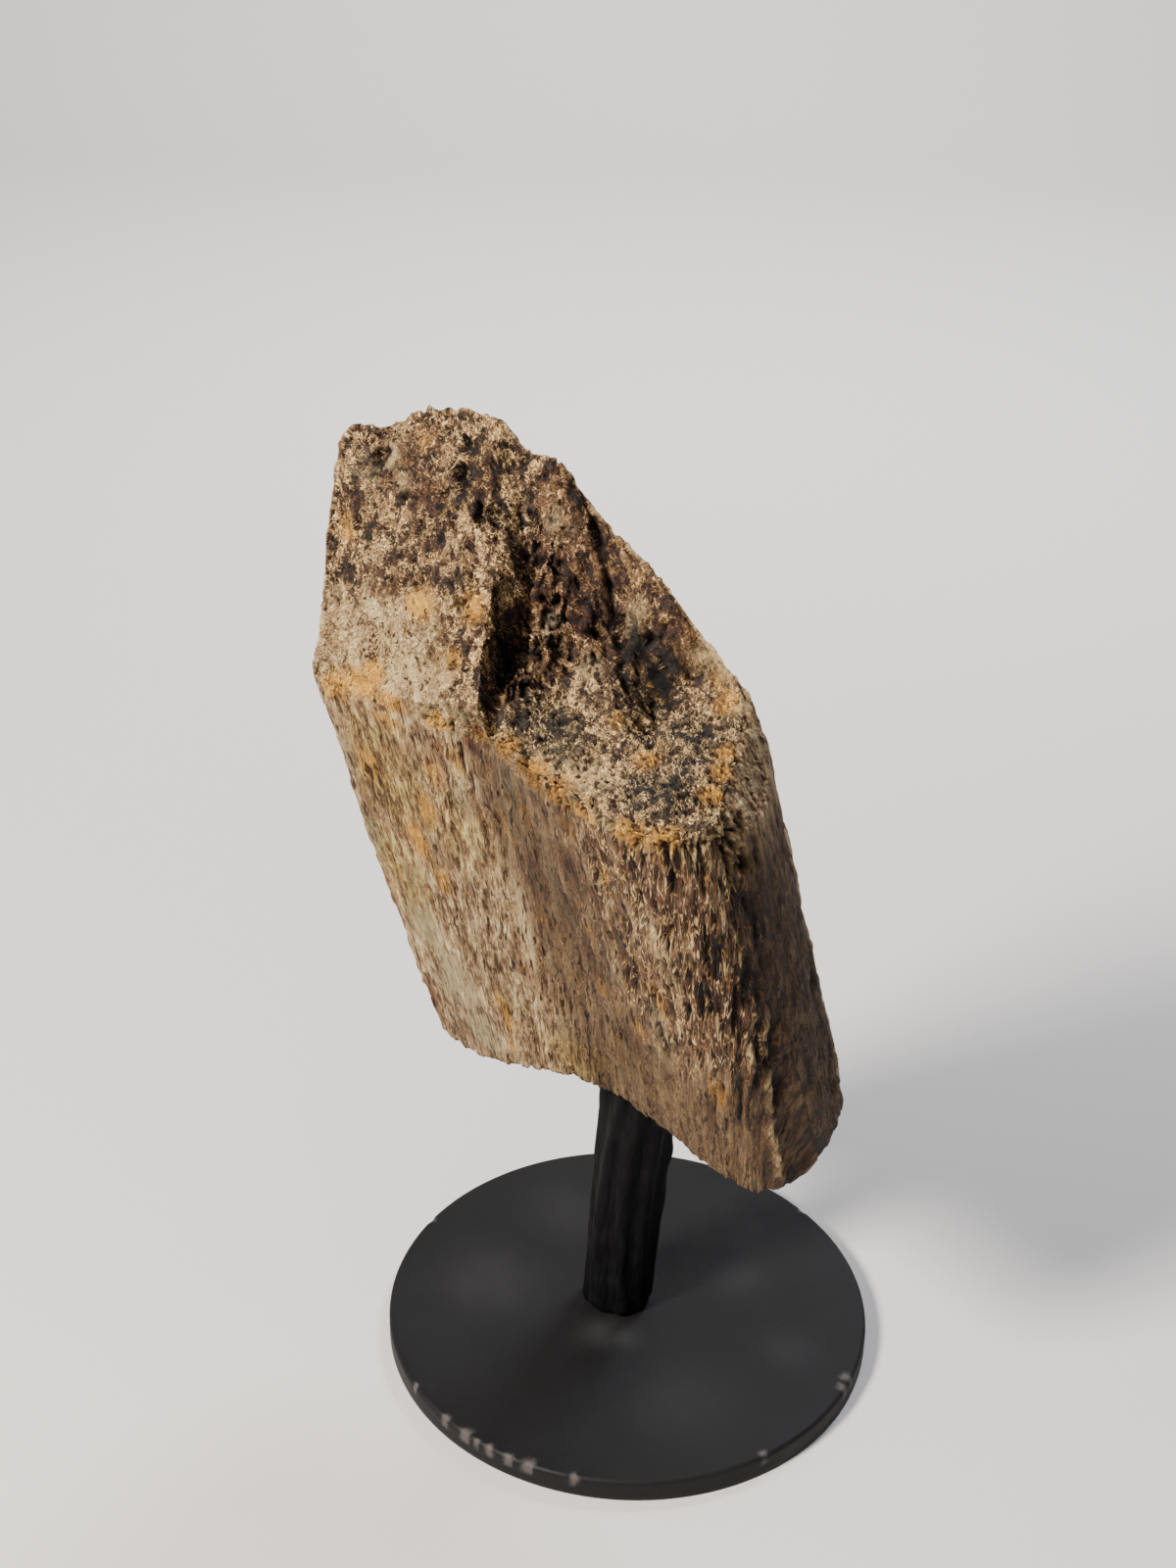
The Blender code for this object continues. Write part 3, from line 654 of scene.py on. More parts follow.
def reliefPatterns(grain):
    # every pattern at its own cell size; they run from 0 up, swell and lumps to both sides of 0
    places = {name: grain / size for name, size in bone["cells"].items()}
    patterns = {}
    for name, seed in (("comb", 51), ("combMid", 55), ("combFine", 58), ("furrows", 75)):
        patterns[name], patterns[name + "Wall"] = combField(places[name], seed)
    for name, seed, share, widest in (("pitsWide", 61, 0.55, 0.46), ("pits", 65, 0.80, 0.50),
                                      ("slits", 71, 0.32, 0.44), ("fissures", 77, 0.50, 0.30)):
        patterns[name] = pitField(places[name], seed, share, widest)
    for name, seed in (("curls", 81), ("strands", 85)):
        patterns[name] = curlField(places[name], seed)
    for name, seed in (("swell", 92), ("lumps", 93)):
        patterns[name] = noiseField(places[name], seed, 2)
    patterns["slits"] = patterns["slits"] * smoothStep(-0.35, 0.25, noiseField(places["bunches"], 96, 2))
    # flakes are two steps, a large one and a small one, where a noise changes sign
    patterns["flakes"] = (smoothStep(-0.05, 0.05, noiseField(places["flakes"], 91, 3))
                          + 0.7 * smoothStep(-0.08, 0.08, noiseField(places["smallFlakes"], 99, 2)))
    # cracks are the walls between long cells, where the surface swells
    gap = cellField(bentPlace(places["cracks"], 0.16, 98), 98)[1]
    patterns["cracks"] = smoothStep(0.07, 0.01, gap) * smoothStep(-0.3, 0.3, patterns["swell"])
    return patterns


def zoneSum(amounts, patterns, zones):
    # each pattern times the sum of its amount in each zone
    total = 0.0
    for name, shares in amounts.items():
        total = total + patterns[name] * sum(amount * zones[zone] for zone, amount in shares.items())
    return total


def singleHollows(grain, spot, zones, furrows):
    # round large pores, the gully's crack at the foot of the lobe's wall, furrows in the deep hole
    # and one slanting groove: each a smooth step of the distance to its middle
    u, v, top = spot[..., 0], spot[..., 1], zones["top"]
    sunk = 0.0
    for across, through, radius, depth in bone["largePores"]:
        gap = np.hypot(u - across, v - through) / radius
        sunk = sunk + depth * top * smoothStep(1.25, 0.55, gap)
    bend = 0.4 * noiseField(grain / bone["cells"]["gullyBend"], 94, 2)
    gully = smoothStep(0.8, 0.2, np.abs(u - lobeStep(v) + 1.8 - bend))
    sunk = sunk + 1.2 * top * gully * smoothStep(-4.5, -2.0, v) * smoothStep(4.5, 1.5, v)
    sunk = sunk + top * hill(u, 17.5, 3.2) * hill(v, 10.5, 2.8) * (0.2 + 3.0 * furrows)
    groove = smoothStep(1.3, 0.2, np.abs(u - 14.0 + 0.83 * (v - 7.0) + 0.5 * zones["fray"]))
    return sunk + 1.1 * top * groove * smoothStep(6.0, 9.0, v)


def lipRelief(grain, spot, zones, combMid):
    # the lip stands proud in a narrow band along its jagged line, and the shell drops beyond it
    u, v, s = spot[..., 0], spot[..., 1], spot[..., 2]
    line = np.interp(s, bone["lipHeights"], bone["lipPlaces"])
    edge = v - line + 0.6 * noiseField(grain / bone["cells"]["lipBend"], 95, 2)
    low = zones["side"] * smoothStep(30.0, 36.0, u)
    low = low * smoothStep(61.0, 57.0, s) * smoothStep(14.0, 20.0, s)
    lip = low * smoothStep(-1.5, -0.3, edge) * smoothStep(0.4, 0.0, edge)
    drop = 0.6 * low * smoothStep(0.0, 0.7, edge) * smoothStep(7.0, 2.0, edge)
    return lip, (0.3 + 0.9 * combMid) * lip - drop


def boneShade(spot, zones, lip):
    # painted shade on the sides: the right end, which faces away from the light, and the front face towards
    # the right, each a product of smooth steps
    u, v, s = spot[..., 0], spot[..., 1], spot[..., 2]
    end = zones["side"] * smoothStep(-9.5, -6.5, v) * smoothStep(33.0, 38.0, u)
    end = end * smoothStep(110.0, 70.0, s) * smoothStep(16.0, 8.0, v)
    front = smoothStep(-14.0, 2.0, u) * (1.0 - 0.6 * zones["ridge"])
    front = front * (0.56 + 0.04 * smoothStep(38.0, 62.0, s))
    front = front + 0.26 * smoothStep(34.0, 38.0, u) * smoothStep(60.0, 45.0, s)
    return np.maximum(end, front * zones["side"] * smoothStep(2.0, -4.0, v)) * (1.0 - 0.5 * lip)


def boneLayers(grain, spot, zones, patterns, sunk, lip):
    # masks for the material, packed three to a layer; crest is how near the walls of the sponge are
    slope, lobe, crumbly = zones["slope"], zones["lobe"], zones["crumbly"]
    midWall, fineWall = patterns["combMidWall"], patterns["combFineWall"]
    crest = slope * np.maximum(0.95 * patterns["combWall"], 0.75 * midWall)
    crest = crest + lobe * np.maximum(0.70 * midWall, 0.80 * fineWall)
    crest = crest + (crumbly + zones["under"]) * np.maximum(0.80 * midWall, 0.90 * fineWall)
    furrowWall = patterns["furrowsWall"] * np.maximum(zones["ridge"], zones["strip"])
    crest = np.maximum(crest, 0.8 * furrowWall)
    spongy = lobe + slope * (1.0 - 0.8 * zones["wall"]) + crumbly + 0.6 * zones["strip"] + zones["under"]
    spongy = np.clip(spongy, 0.0, 1.0)
    # cavity is how deep the relief is sunk, which darkenHollows turns into painted shade
    cavity = np.clip(sunk / (0.75 + 0.5 * slope), 0.0, 1.0)
    masks = {name: spotMask(spot, spots) for name, spots in bone["stainsAndShade"].items()}
    pale = 0.75 * lip + 0.95 * zones["crumbs"] + 0.50 * zones["cortex"]
    layers = {
        "zones": (spongy, slope, lobe),
        "hollow": (cavity, zones["ridge"], boneShade(spot, zones, lip)),
        "crests": (crest, patterns["strands"], masks["plum"]),
        "warmStain": (masks["ochre"] * (1.0 - 0.8 * zones["ends"]), masks["rust"],
                      np.maximum(masks["cream"], pale)),
        "coldStain": (masks["grey"], masks["charcoal"] * zones["top"], masks["dark"]),
        "greenStain": (masks["olive"], zones["calm"], masks["umber"]),
    }
    layers = {name: np.stack([*three, np.ones_like(lip)], -1) for name, three in layers.items()}
    return {"grain": grain, **layers}


def boneSurface():
    # base surface plus relief along its normal, in grain coordinates that follow the fibres
    place, flat, level, kind = boneRings()
    moved = sectionAt(level, grainPlace(level, place[None, :] * np.ones_like(level)))
    grain = np.concatenate([np.where((kind == 1.0)[..., None], moved, flat), level[..., None]], -1)
    spot = np.concatenate([flat, level[..., None]], -1)
    points = np.array(bone["foot"]) + spot @ boneAxes()
    zones, patterns = boneZones(grain, spot, kind), reliefPatterns(grain)
    sunk = zoneSum(bone["sunk"], patterns, zones)
    sunk = sunk + singleHollows(grain, spot, zones, patterns["furrows"])
    lip, lipProud = lipRelief(grain, spot, zones, patterns["combMid"])
    proud = zoneSum(bone["proud"], patterns, zones) + lipProud
    points = points + softNormals(points) * (proud - sunk)[..., None]
    return points, boneLayers(grain, spot, zones, patterns, sunk, lip)


def readMasks(tree):
    # the mesh's packed layers split into single masks by name
    masks = {}
    for name, titles in (("zones", "spongy slope lobe"), ("hollow", "cavity ridge shade"),
                         ("crests", "walls strands plum"), ("warmStain", "ochre rust cream"),
                         ("coldStain", "grey charcoal dark"), ("greenStain", "olive calm umber")):
        layer = addNode(tree, "ShaderNodeAttribute", {"attribute_name": name}, {}, "Color")
        split = addNode(tree, "ShaderNodeSeparateColor", {}, {"Color": layer}).node
        masks.update(zip(titles.split(), split.outputs))
    return masks


def grainNoises(tree, grain):
    # grain coordinates are in millimetres, so a scale of 2 is a strand half a millimetre wide;
    # each pattern: how much the length is drawn out, scale, detail, roughness, distortion
    noises = {}
    for name, drawn, scale, detail, rough, bend in (
            ("fibre", 0.12, 2.8, 5.0, 0.70, 0.3), ("streak", 0.05, 0.55, 4.0, 0.6, 0.0),
            ("blotch", 0.40, 0.16, 4.0, 0.55, 0.3), ("patch", 0.50, 0.50, 5.0, 0.65, 0.4),
            ("mottle", 0.45, 0.55, 6.0, 0.72, 0.6), ("line", 0.07, 0.75, 2.0, 0.5, 0.35),
            ("curl", 0.65, 0.72, 1.0, 0.50, 2.6), ("frizz", 0.70, 1.40, 2.0, 0.60, 2.0),
            ("strand", 0.12, 1.50, 1.0, 0.50, 1.1), ("grit", 1.00, 4.2, 3.0, 0.6, 0.0)):
        vector = addNode(tree, *stretch, {0: grain, 1: (1.0, 1.0, drawn)})
        noises[name] = addNode(tree, *softNoise, {
            "Vector": vector, "Scale": scale, "Detail": detail, "Roughness": rough, "Distortion": bend})
    return noises


def grainHoles(tree, grain):
    # small pores and slits: dark near the middle of a cell, where the cell's own colour lets them open;
    # a pore's cell is about a millimetre wide, a slit's three quarters of one
    holes = {}
    for name, drawn, scale, wide in (("pore", 0.75, 0.95, 0.46), ("slit", 0.16, 1.35, 0.40)):
        vector = addNode(tree, *stretch, {0: grain, 1: (1.0, 1.0, drawn)})
        wander = addNode(tree, *softNoise, {"Vector": vector, "Scale": 1.8}, "Color")
        bent = addNode(tree, "ShaderNodeVectorMath", {"operation": "MULTIPLY_ADD"},
                       {0: wander, 1: (0.9, 0.9, 0.9), 2: vector})
        cell = addNode(tree, "ShaderNodeTexVoronoi", {}, {"Vector": bent, "Scale": scale}).node
        own = addNode(tree, "ShaderNodeSeparateColor", {}, {"Color": cell.outputs["Color"]})
        reach = addNode(tree, *multiply, {0: own, 1: wide})
        depth = addNode(tree, "ShaderNodeMath", {"operation": "SUBTRACT"},
                        {0: reach, 1: cell.outputs["Distance"]})
        holes[name] = addNode(tree, *moveRange, {"Value": depth, "From Min": 0.0, "From Max": 0.07})
    return holes


def crestLines(tree, noises):
    # thin lines where a bent noise crosses its middle value
    lines = {}
    for name, wide, full in (("curl", 0.056, 0.020), ("frizz", 0.045, 0.012),
                             ("strand", 0.050, 0.016), ("line", 0.018, 0.005)):
        offset = addNode(tree, "ShaderNodeMath", {"operation": "SUBTRACT"}, {0: noises[name], 1: 0.5})
        gap = addNode(tree, "ShaderNodeMath", {"operation": "ABSOLUTE"}, {0: offset})
        lines[name] = addNode(tree, *moveRange, {"Value": gap, "From Min": wide, "From Max": full})
    return lines


def spongeCrests(tree, masks, noises, lines):
    # crests of the spongy walls: the wall mask frayed by grit, and finer curls; both fade in and out
    # in patches, and they are rarer on umber and charcoal stains and on the slope
    frizz = addNode(tree, *multiply, {0: lines["frizz"], 1: 0.75})
    curls = addNode(tree, *highest, {0: lines["curl"], 1: frizz})
    frayed = addNode(tree, *multiplyAdd, {0: noises["grit"], 1: 1.1, 2: -0.55})
    frayed = addNode(tree, "ShaderNodeMath", {"operation": "ADD"}, {0: frayed, 1: masks["walls"]})
    crest = addNode(tree, *moveRange, {"Value": frayed, "From Min": 0.60, "From Max": 0.86, "To Max": 0.40})
    crest = addNode(tree, *highest, {0: crest, 1: curls})
    patchy = addNode(tree, *moveRange, {
        "Value": noises["patch"], "From Min": 0.40, "From Max": 0.54, "To Min": 0.20, "To Max": 1.0})
    crest = addNode(tree, *multiply, {0: crest, 1: patchy})
    bare = addNode(tree, *multiply, {0: masks["umber"], 1: 1.6})
    bare = addNode(tree, *multiplyAdd, {0: masks["charcoal"], 1: 0.65, 2: bare})
    bare = addNode(tree, *highest, {0: bare, 1: masks["slope"]})
    bare = addNode(tree, *multiplyAdd, {0: bare, 1: -0.47, 2: 1.0})
    crest = addNode(tree, *multiply, {0: crest, 1: bare})
    crest = addNode(tree, *softRange, {"Value": crest, "From Min": 0.20, "From Max": 0.62})
    return crest, patchy


def barePaint(tree, masks, noises, lines, crest):
    # sides: long strands from dark umber to cream; breaks: brown crust with cream crests;
    # strands stand out from the sides, most of all on the ridge, where the ground between them is dark
    mixed = addNode(tree, *mixValues, {0: 0.32, 2: noises["fibre"], 3: noises["streak"]})
    mixed = addNode(tree, *mixValues, {0: 0.36, 2: mixed, 3: noises["mottle"]})
    mixed = addNode(tree, *multiplyAdd, {0: masks["strands"], 1: 0.04, 2: mixed})
    sides = addNode(tree, "ShaderNodeValToRGB", {"stops": [
        (0.41, "#241911"), (0.46, "#5e4630"), (0.50, "#8c7050"), (0.545, "#b59b72"), (0.61, "#ead8b0")]},
        {"Fac": mixed})
    crust = addNode(tree, *mixValues, {0: 0.35, 2: noises["patch"], 3: noises["grit"]})
    crust = addNode(tree, *multiplyAdd, {0: lines["curl"], 1: 0.08, 2: crust})
    crust = addNode(tree, "ShaderNodeValToRGB", {"stops": [
        (0.41, "#120c0a"), (0.47, "#38271d"), (0.53, "#6c523a"), (0.62, "#ab8f63")]}, {"Fac": crust})
    cream = addNode(tree, "ShaderNodeValToRGB", {"stops": [
        (0.42, "#a8743a"), (0.50, "#e6bb76"), (0.58, "#fff0c8")]}, {"Fac": noises["mottle"]})
    breaks = addNode(tree, *mixColors, {0: crest, 6: crust, 7: cream}, 2)
    strands = addNode(tree, *multiplyAdd, {0: masks["ridge"], 1: 0.50, 2: 0.35})
    strands = addNode(tree, *multiply, {0: strands, 1: lines["strand"]})
    ground = addNode(tree, *multiply, {0: masks["ridge"], 1: 0.75})
    sides = addNode(tree, *tintColors, {0: ground, 6: sides, 7: linearColor("#8a5e48")}, 2)
    sides = addNode(tree, *mixColors, {0: strands, 6: sides, 7: cream}, 2)
    return addNode(tree, *mixColors, {0: masks["spongy"], 6: sides, 7: breaks}, 2)


def keenCrests(tree, masks, lines, crest, patchy):
    # the crests and ridge strands that keep their gold and cream, less of them in the dark hollows under
    # painted shade
    keen = addNode(tree, *multiply, {0: crest, 1: masks["spongy"]})
    bright = addNode(tree, *multiply, {0: lines["strand"], 1: masks["ridge"]})
    bright = addNode(tree, *multiply, {0: bright, 1: patchy})
    keen = addNode(tree, *highest, {0: keen, 1: bright})
    lit = addNode(tree, "ShaderNodeMath", {"operation": "MULTIPLY_ADD", "use_clamp": True},
                  {0: masks["dark"], 1: -0.8, 2: 1.0})
    return addNode(tree, *multiply, {0: keen, 1: lit})


def layStainsAndShade(tree, masks, noises, keen, color):
    # tints, stains, keen crests and painted shade in the order they lie: mask, how it mixes, strength, and
    # the two colours that the fibre noise runs between; the same noises fray the edge of each
    frayed = addNode(tree, *mixValues, {0: masks["spongy"], 2: noises["fibre"], 3: noises["frizz"]})
    frayed = addNode(tree, *mixValues, {0: 0.5, 2: noises["mottle"], 3: frayed})
    lifted = addNode(tree, *multiplyAdd, {0: frayed, 1: 4.4, 2: -2.2})
    for mask, mode, strength, low, high in (
            (masks["lobe"], "MULTIPLY", 0.60, "#c09a78", "#ecd4b4"),
            (masks["slope"], "MULTIPLY", 0.90, "#9c7e70", "#ecd6c0"),
            (masks["olive"], "MULTIPLY", 0.85, "#e4e0ac", "#fffccc"),
            (masks["umber"], "MULTIPLY", 0.85, "#6e4c34", "#c8a67c"),
            (masks["plum"], "MULTIPLY", 0.90, "#7c4c44", "#d0a296"),
            (masks["cream"], "MIX", 0.58, "#8c6a3e", "#f6dea6"),
            (masks["grey"], "MIX", 0.62, "#4c4534", "#a09674"),
            (masks["rust"], "MULTIPLY", 0.85, "#7c452c", "#c89066"),
            (masks["charcoal"], "MIX", 0.92, "#060708", "#2b2825"),
            (keen, "MIX", 0.88, "#a87634", "#ffe6ae"),
            (masks["ochre"], "MULTIPLY", 1.00, "#e8b44c", "#ffeaa0"),
            (masks["ochre"], "MIX", 0.42, "#b06e20", "#ffcc68"),
            # painted shade in the gully, the deep hole and two spots at the right end
            (masks["dark"], "MULTIPLY", 0.98, "#080605", "#322720"),
            # painted shade on the right end and on the front face towards the right
            (masks["shade"], "MULTIPLY", 0.94, "#4a3727", "#7c654b")):
        edge = addNode(tree, *multiplyAdd, {0: mask, 1: lifted, 2: mask})
        share = addNode(tree, *softRange, {
            "Value": edge, "From Min": 0.20, "From Max": 0.80, "To Max": strength})
        stain = addNode(tree, *mixColors, {
            0: noises["fibre"], 6: linearColor(low), 7: linearColor(high)}, 2)
        color = addNode(tree, "ShaderNodeMix", {"data_type": "RGBA", "blend_type": mode},
                        {0: share, 6: color, 7: stain}, 2)
    return color


def openHoles(tree, masks, noises, lines, holes):
    # pores on the breaks, slits and thin crack lines on the sides, fewer slits where the side is worn
    grouped = addNode(tree, *moveRange, {"Value": noises["blotch"], "From Min": 0.46, "From Max": 0.54})
    crack = addNode(tree, *multiply, {0: lines["line"], 1: grouped})
    worn = addNode(tree, *multiplyAdd, {0: masks["olive"], 1: 0.6, 2: masks["calm"]})
    slit = addNode(tree, "ShaderNodeMath", {"operation": "SUBTRACT", "use_clamp": True},
                   {0: holes["slit"], 1: worn})
    slit = addNode(tree, *highest, {0: slit, 1: crack})
    return addNode(tree, *mixValues, {0: masks["spongy"], 2: slit, 3: holes["pore"]})


def darkenHollows(tree, masks, keen, opening, color):
    # painted shade: holes and hollows go dark, deeper ones more, and keen crests stay lighter than the
    # hollow round them
    sunken = addNode(tree, *multiplyAdd, {0: keen, 1: -0.55, 2: 1.0})
    sunken = addNode(tree, *multiply, {0: sunken, 1: masks["cavity"]})
    for share, code in ((opening, "#6a5444"), (sunken, "#38261f")):
        color = addNode(tree, *tintColors, {0: share, 6: color, 7: linearColor(code)}, 2)
    return color


def fineRelief(tree, masks, noises, lines, crest, opening):
    # crests on the breaks, strands on the sides, open holes, grit over all; 0.4 mm deep at the most
    smooth = addNode(tree, *multiplyAdd, {0: masks["calm"], 1: -0.8, 2: 1.0})
    weave = addNode(tree, *mixValues, {0: 0.45, 2: noises["fibre"], 3: lines["strand"]})
    weave = addNode(tree, *multiplyAdd, {0: noises["mottle"], 1: 1.2, 2: weave})
    weave = addNode(tree, *multiply, {0: weave, 1: 1.6})
    weave = addNode(tree, *mixValues, {0: masks["spongy"], 2: weave, 3: crest})
    weave = addNode(tree, *multiplyAdd, {0: noises["grit"], 1: 0.5, 2: weave})
    weave = addNode(tree, *multiplyAdd, {0: opening, 1: -0.8, 2: weave})
    weave = addNode(tree, *multiply, {0: weave, 1: smooth})
    return addNode(tree, "ShaderNodeBump", {}, {
        "Height": weave, "Strength": 1.0, "Distance": 0.42 * millimetre})


def boneMaterial():
    # mineralised bone, broken and weathered: dry and matt, with cream fibres over brown, pores darkened
    # with painted shade, and iron stains in ochre and rust; painted shade also lies in the hollows and on
    # the right end
    material, tree, shader = newMaterial("mineralised bone")
    masks = readMasks(tree)
    grain = addNode(tree, "ShaderNodeAttribute", {"attribute_name": "grain"}, {}, "Vector")
    noises, holes = grainNoises(tree, grain), grainHoles(tree, grain)
    lines = crestLines(tree, noises)
    crest, patchy = spongeCrests(tree, masks, noises, lines)
    keen = keenCrests(tree, masks, lines, crest, patchy)
    opening = openHoles(tree, masks, noises, lines, holes)
    color = layStainsAndShade(tree, masks, noises, keen, barePaint(tree, masks, noises, lines, crest))
    fillInputs(tree, shader, {
        "Base Color": darkenHollows(tree, masks, keen, opening, color),
        "Roughness": 0.74, "IOR": 1.5, "Specular IOR Level": 0.3,
        "Normal": fineRelief(tree, masks, noises, lines, crest, opening)})
    return material


def makeBone():
    # the last ring is folded flat on the middle line, so its two halves share their points, and a
    # fan closes the roof of the socket
    points, layers = boneSurface()
    rings, columns = points.shape[:2]
    index = np.arange(rings * columns).reshape(rings, columns)
    index[-1] = (rings - 1) * columns + np.minimum(np.arange(columns), columns - np.arange(columns))
    faces, far = ringFaces(index)
    used = (rings - 1) * columns + columns // 2 + 1
    fan = np.stack([np.full(columns, used), far[0], index[0], index[0]], -1)
    faces = np.concatenate([faces, fan])
    allPoints = np.concatenate([points.reshape(-1, 3)[:used], [points[0].mean(axis=0)]])
    attributes = {}
    for name, values in layers.items():
        flat = values.reshape(-1, values.shape[-1])[:used]
        attributes[name] = np.concatenate([flat, flat[:1]])
    piece = makeMesh("boneFragment", allPoints, faces, attributes, boneMaterial())
    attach(piece, "root")
    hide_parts("rib_fragment")
    print("bone made:", len(faces), "faces")


makeBone()


# post

post = {
    "foot": (-2.0, 1.6, 4.8), "head": (1.9, 0.0, 77.0),
    "radius": 6.45, "flutes": 9, "fluteDepth": 0.30,
    "twist": 0.35, "twistLength": 17.0,  # the flutes sway by this turn in radians as they rise
    "rings": 240, "columns": 150,
    # the foot is rounded in: height above its end, share of the full radius there
    "footHeights": [0.0, 0.12, 0.35, 0.7, 1.2, 1.8], "footShares": [0.80, 0.875, 0.92, 0.955, 0.98, 1.0],
    "barkRadius": 6.4, "coarseBark": 0.32, "fineBark": 0.12,
    # swellings of the stick: turn in degrees, height, size, how far they stand out
    "knots": [
        (-8, 37, 3, 0.7), (-2, 26, 4, 0.6), (5, 44, 3, 0.5), (150, 24, 5, 0.4),
        (200, 50, 4, 0.4), (80, 33, 4, 0.6), (255, 33, 2, 0.25), (230, 17, 2, 0.3)],
    "knotWide": 2.6,
}


def postSurface():
    # a line carried round: radius plus a cosine for each flute, bark noise stretched up the stick,
    # and a bell curve for each knot, all times the share that rounds the foot
    foot, head = np.array(post["foot"]), np.array(post["head"])
    height = np.linalg.norm(head - foot)
    line = (head - foot) / height
    side = np.cross([0.0, 1.0, 0.0], line)
    side /= np.linalg.norm(side)
    back = np.cross(line, side)
    turn = (np.arange(post["columns"]) * 2.0 * np.pi / post["columns"])[None, :]
    rise = np.concatenate([post["footHeights"], np.linspace(2.4, height, post["rings"])])[:, None]
    bark = np.stack([post["barkRadius"] * np.cos(turn) + 0.0 * rise,
                     post["barkRadius"] * np.sin(turn) + 0.0 * rise, rise + 0.0 * turn], -1)
    flutes = np.cos(post["flutes"] * (turn + post["twist"] * np.sin(rise / post["twistLength"])))
    radius = post["radius"] + post["fluteDepth"] * flutes
    radius = radius + post["coarseBark"] * noiseField(bark / [2.6, 2.6, 22.0], 131, 2)
    radius = radius + post["fineBark"] * noiseField(bark / [0.8, 0.8, 7.0], 132, 2)
    for angle, place, size, out in post["knots"]:
        gap = (turn - math.radians(angle) + np.pi) % (2.0 * np.pi) - np.pi
        around = post["barkRadius"] * gap / post["knotWide"]
        radius = radius + out * np.exp(-around ** 2 - ((rise - place) / size) ** 2)
    radius = radius * np.interp(rise, post["footHeights"], post["footShares"])
    spoke = np.cos(turn)[..., None] * side + np.sin(turn)[..., None] * back
    return foot + rise[..., None] * line + radius[..., None] * spoke, bark


def postMaterial():
    # stick of hardwood under matt black paint: nearly no gloss, with the bark's ridges showing through;
    # the ridges are 0.6 mm apart, and the dust lies in clouds of 4 to 5 mm
    material, tree, shader = newMaterial("matt black painted stick")
    bark = addNode(tree, "ShaderNodeAttribute", {"attribute_name": "bark"}, {}, "Vector")
    long = addNode(tree, *stretch, {0: bark, 1: (1.0, 1.0, 0.12)})
    fibre = addNode(tree, *softNoise, {
        "Vector": long, "Scale": 1.6, "Detail": 4.0, "Roughness": 0.6}, "Fac")
    dust = addNode(tree, *softNoise, {"Vector": bark, "Scale": 0.22, "Detail": 3.0}, "Fac")
    paint = addNode(tree, "ShaderNodeValToRGB", {"stops": [
        (0.30, "#060607"), (0.55, "#0b0b0d"), (0.72, "#141416")]}, {"Fac": fibre}, "Color")
    worn = addNode(tree, *moveRange, {"Value": dust, "From Min": 0.52, "From Max": 0.75, "To Max": 0.35})
    color = addNode(tree, *mixColors, {0: worn, 6: paint, 7: linearColor("#1c1c1e")}, 2)
    rough = addNode(tree, *moveRange, {
        "Value": fibre, "From Min": 0.3, "From Max": 0.7, "To Min": 0.55, "To Max": 0.8})
    bump = addNode(tree, "ShaderNodeBump", {}, {
        "Height": fibre, "Strength": 0.7, "Distance": 0.3 * millimetre})
    fillInputs(tree, shader, {"Base Color": color, "Roughness": rough, "IOR": 1.5,
                              "Specular IOR Level": 0.08, "Normal": bump})
    return material


def makePost():
    points, bark = postSurface()
    middles = [[0.0, 0.0, 0.0], [0.0, 0.0, bark[-1, 0, 2]]]
    points, faces, bark = closeEnds(points, bark, [post["foot"], post["head"]], middles)
    piece = makeMesh("stickPost", points, faces, {"bark": bark}, postMaterial())
    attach(piece, "root")
    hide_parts("post")
    print("post made:", len(faces), "faces")


makePost()


# disc

disc = {
    "radius": 45.0, "thickness": 4.5, "edge": 0.9, "chamfer": 0.4,
    "columns": 720,
    # chips in the paint at the rim: turn in degrees, radius, width round, width inwards
    "chips": [
        (-149, 44.6, 0.7, 0.4), (-136.5, 44.5, 0.9, 0.5), (-130, 44.4, 1.3, 1.1),
        (-126.5, 44.8, 0.7, 0.5), (-123, 44.6, 0.9, 0.6), (-118, 44.7, 1, 0.7), (-113, 44.6, 1.3, 1.2),
        (-102.3, 44.8, 0.9, 0.7), (-58, 44.2, 0.8, 0.6), (-25, 43.8, 1.1, 1.2), (-28.6, 44.2, 1, 1.1),
        (38, 44.6, 0.9, 0.6), (95, 44.6, 0.8, 0.6), (150, 44.6, 0.9, 0.6)],
    "chipDepth": 0.16, "chipLow": 2.2,  # a chip's bite, and how far it reaches down the side
    # dusty smears on top: x, y, width, strength
    "smears": [
        (-5, -8.5, 4, 0.9), (-1.5, -9.5, 3, 0.7), (20.8, 8.2, 6, 0.4), (-26, 4, 9, 0.5),
        (10, -26, 9, 0.3), (-12, 26, 8, 0.4), (30, -12, 5, 0.3)],
}


def discProfile():
    # flat top, a quarter round at the edge, a straight side, a small chamfer and the underside,
    # given from below upwards
    outer, thick, edge, chamfer = (disc[k] for k in ("radius", "thickness", "edge", "chamfer"))
    quarter = np.radians(np.linspace(90.0, 0.0, 7))
    flat = np.concatenate([np.linspace(1.0, 38.0, 20), np.linspace(38.7, outer - edge, 9)[:-1]])
    radius = np.concatenate([flat, outer - edge + edge * np.cos(quarter), [outer] * 4,
                             [outer - chamfer, 30.0, 1.0]])
    height = np.concatenate([np.full(len(flat), thick), thick - edge + edge * np.sin(quarter),
                             np.linspace(thick - edge, chamfer, 5)[1:], [0.0, 0.0, 0.0]])
    return radius[::-1, None], height[::-1, None]


